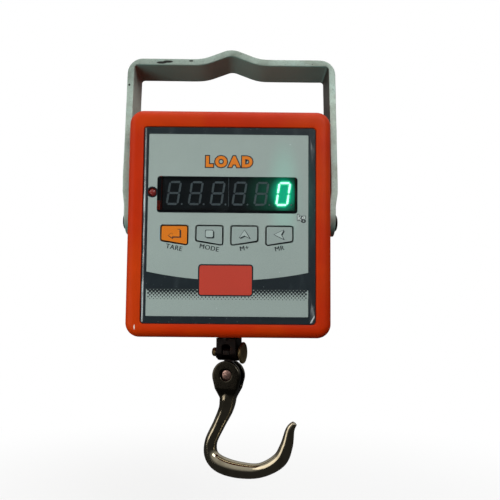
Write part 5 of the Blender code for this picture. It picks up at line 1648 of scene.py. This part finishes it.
def floor():
    """A wide pale floor well below the hook, fading to white away from the object."""
    half, height = 2.5, cad_box[0].z - 0.05
    bm = bmesh.new()
    bm.faces.new([bm.verts.new((*p, height)) for p in rectangle(-half, half, -half, half)])
    made = raw_object("floor", bm)
    if made.data.polygons[0].normal.z < 0:
        made.data.flip_normals()
    look = Look("pale_floor", srgb(245, 245, 245), 0.6)
    close = look.near((0.0, 0.0, height), (1.0, 1.0, 1.0), 0.1, 0.45)
    look.shade(look.noise(0.4, 2), 0.985, 1.0)
    seen = look.node("LightPath").outputs["Is Camera Ray"]
    strength = look.math("MULTIPLY_ADD", seen, 0.97, third=0.03)
    white = look.node("Emission", {"Color": (1.0, 1.0, 1.0, 1.0), "Strength": strength}).outputs[0]
    share = look.math("MULTIPLY", look.math("MULTIPLY", close, 0.3), seen)
    mixed = look.node("MixShader", {0: share, 1: white, 2: look.shader.outputs[0]}).outputs[0]
    below = look.node("NewGeometry").outputs["Backfacing"]
    clear = look.node("BsdfTransparent").outputs[0]
    mixed = look.node("MixShader", {0: below, 1: mixed, 2: clear}).outputs[0]
    look.tree.links.new(mixed, look.tree.nodes["Material Output"].inputs["Surface"])
    made.data.materials.append(look.done())


def world():
    """White behind the object for the camera; for reflections, a soft room that is dark below."""
    made = bpy.data.worlds.new("studio")
    made.use_nodes = True
    tree = made.node_tree
    nodes, links = tree.nodes, tree.links
    nodes.clear()
    direction = nodes.new("ShaderNodeTexCoord").outputs["Generated"]
    split = nodes.new("ShaderNodeSeparateXYZ")
    links.new(direction, split.inputs[0])
    ramp = nodes.new("ShaderNodeValToRGB")
    stops = [(0.0, 0.015), (0.46, 0.02), (0.56, 0.12), (0.70, 0.50), (1.0, 0.72)]
    points = ramp.color_ramp.elements
    while len(points) < len(stops):
        points.new(0.5)
    for point, (place, value) in zip(points, stops):
        point.position = place
        point.color = (value, value, value * 0.985, 1.0)
    scale = nodes.new("ShaderNodeMapRange")
    scale.inputs["From Min"].default_value = -1.0
    scale.inputs["From Max"].default_value = 1.0
    links.new(split.outputs["Z"], scale.inputs["Value"])
    links.new(scale.outputs[0], ramp.inputs[0])
    room, white = nodes.new("ShaderNodeBackground"), nodes.new("ShaderNodeBackground")
    links.new(ramp.outputs[0], room.inputs["Color"])
    room.inputs["Strength"].default_value = 0.85
    white.inputs["Color"].default_value = (1.0, 1.0, 1.0, 1.0)
    path = nodes.new("ShaderNodeLightPath")
    mix = nodes.new("ShaderNodeMixShader")
    links.new(path.outputs["Is Camera Ray"], mix.inputs[0])
    links.new(room.outputs[0], mix.inputs[1])
    links.new(white.outputs[0], mix.inputs[2])
    links.new(mix.outputs[0], nodes.new("ShaderNodeOutputWorld").inputs["Surface"])
    bpy.context.scene.world = made


def soft_light(name, place, target, size, power, colour=(1.0, 1.0, 1.0)):
    data = bpy.data.lights.new(name, "AREA")
    data.shape = "RECTANGLE"
    data.size, data.size_y = size
    data.energy = power
    data.color = colour
    made = bpy.data.objects.new(name, data)
    made.location = place
    made.rotation_euler = (Vector(target) - Vector(place)).to_track_quat("-Z", "Y").to_euler()
    bpy.context.scene.collection.objects.link(made)
    return made


def lights():
    middle = (0.0, 0.0, -0.12)
    soft_light("key", (0.36, -0.70, 0.44), middle, (0.40, 0.60), 4.2, (0.97, 1.0, 1.0))
    soft_light("fill", (-0.66, -0.32, 0.02), middle, (0.42, 0.80), 1.6, (1.0, 0.95, 0.88))
    soft_light("top", (0.0, 0.05, 0.60), middle, (0.50, 0.30), 1.2)
    under = soft_light("under", (-0.30, -0.42, -0.34), (0.0, 0.0, 0.0), (0.30, 0.30), 4.2, (0.86, 1.0, 1.0))
    under.visible_glossy = False


def camera():
    data = bpy.data.cameras.new("camera")
    data.lens = 44.06
    data.sensor_width = 36.0
    data.clip_start = 0.01
    made = bpy.data.objects.new("camera", data)
    upward, rightward, roll = radians(4.68), radians(0.28), radians(0.52)
    aim = Matrix.Rotation(-rightward, 4, "Z") @ Matrix.Rotation(pi / 2 + upward, 4, "X")
    aim = aim @ Matrix.Rotation(roll, 4, "Z")
    made.matrix_world = Matrix.Translation((10.25 * MM, -370.7 * MM, -145.6 * MM)) @ aim
    bpy.context.scene.collection.objects.link(made)
    bpy.context.scene.camera = made


front_shell()
rear_shell()
rear_screws()
overlay()
silver_print()
halftone()
red_patch()
labels()
heading()
keys()
digits()
led_bodies()
window()
display_foam()
lamp()
protective_film()
handle()
pivots()
swivel_fork()
cross_pin()
link()
hook()
bush()
switch()
rocker()
jack()
finish_inside()

floor()
world()
lights()
camera()
bpy.context.scene.view_settings.view_transform = "Standard"
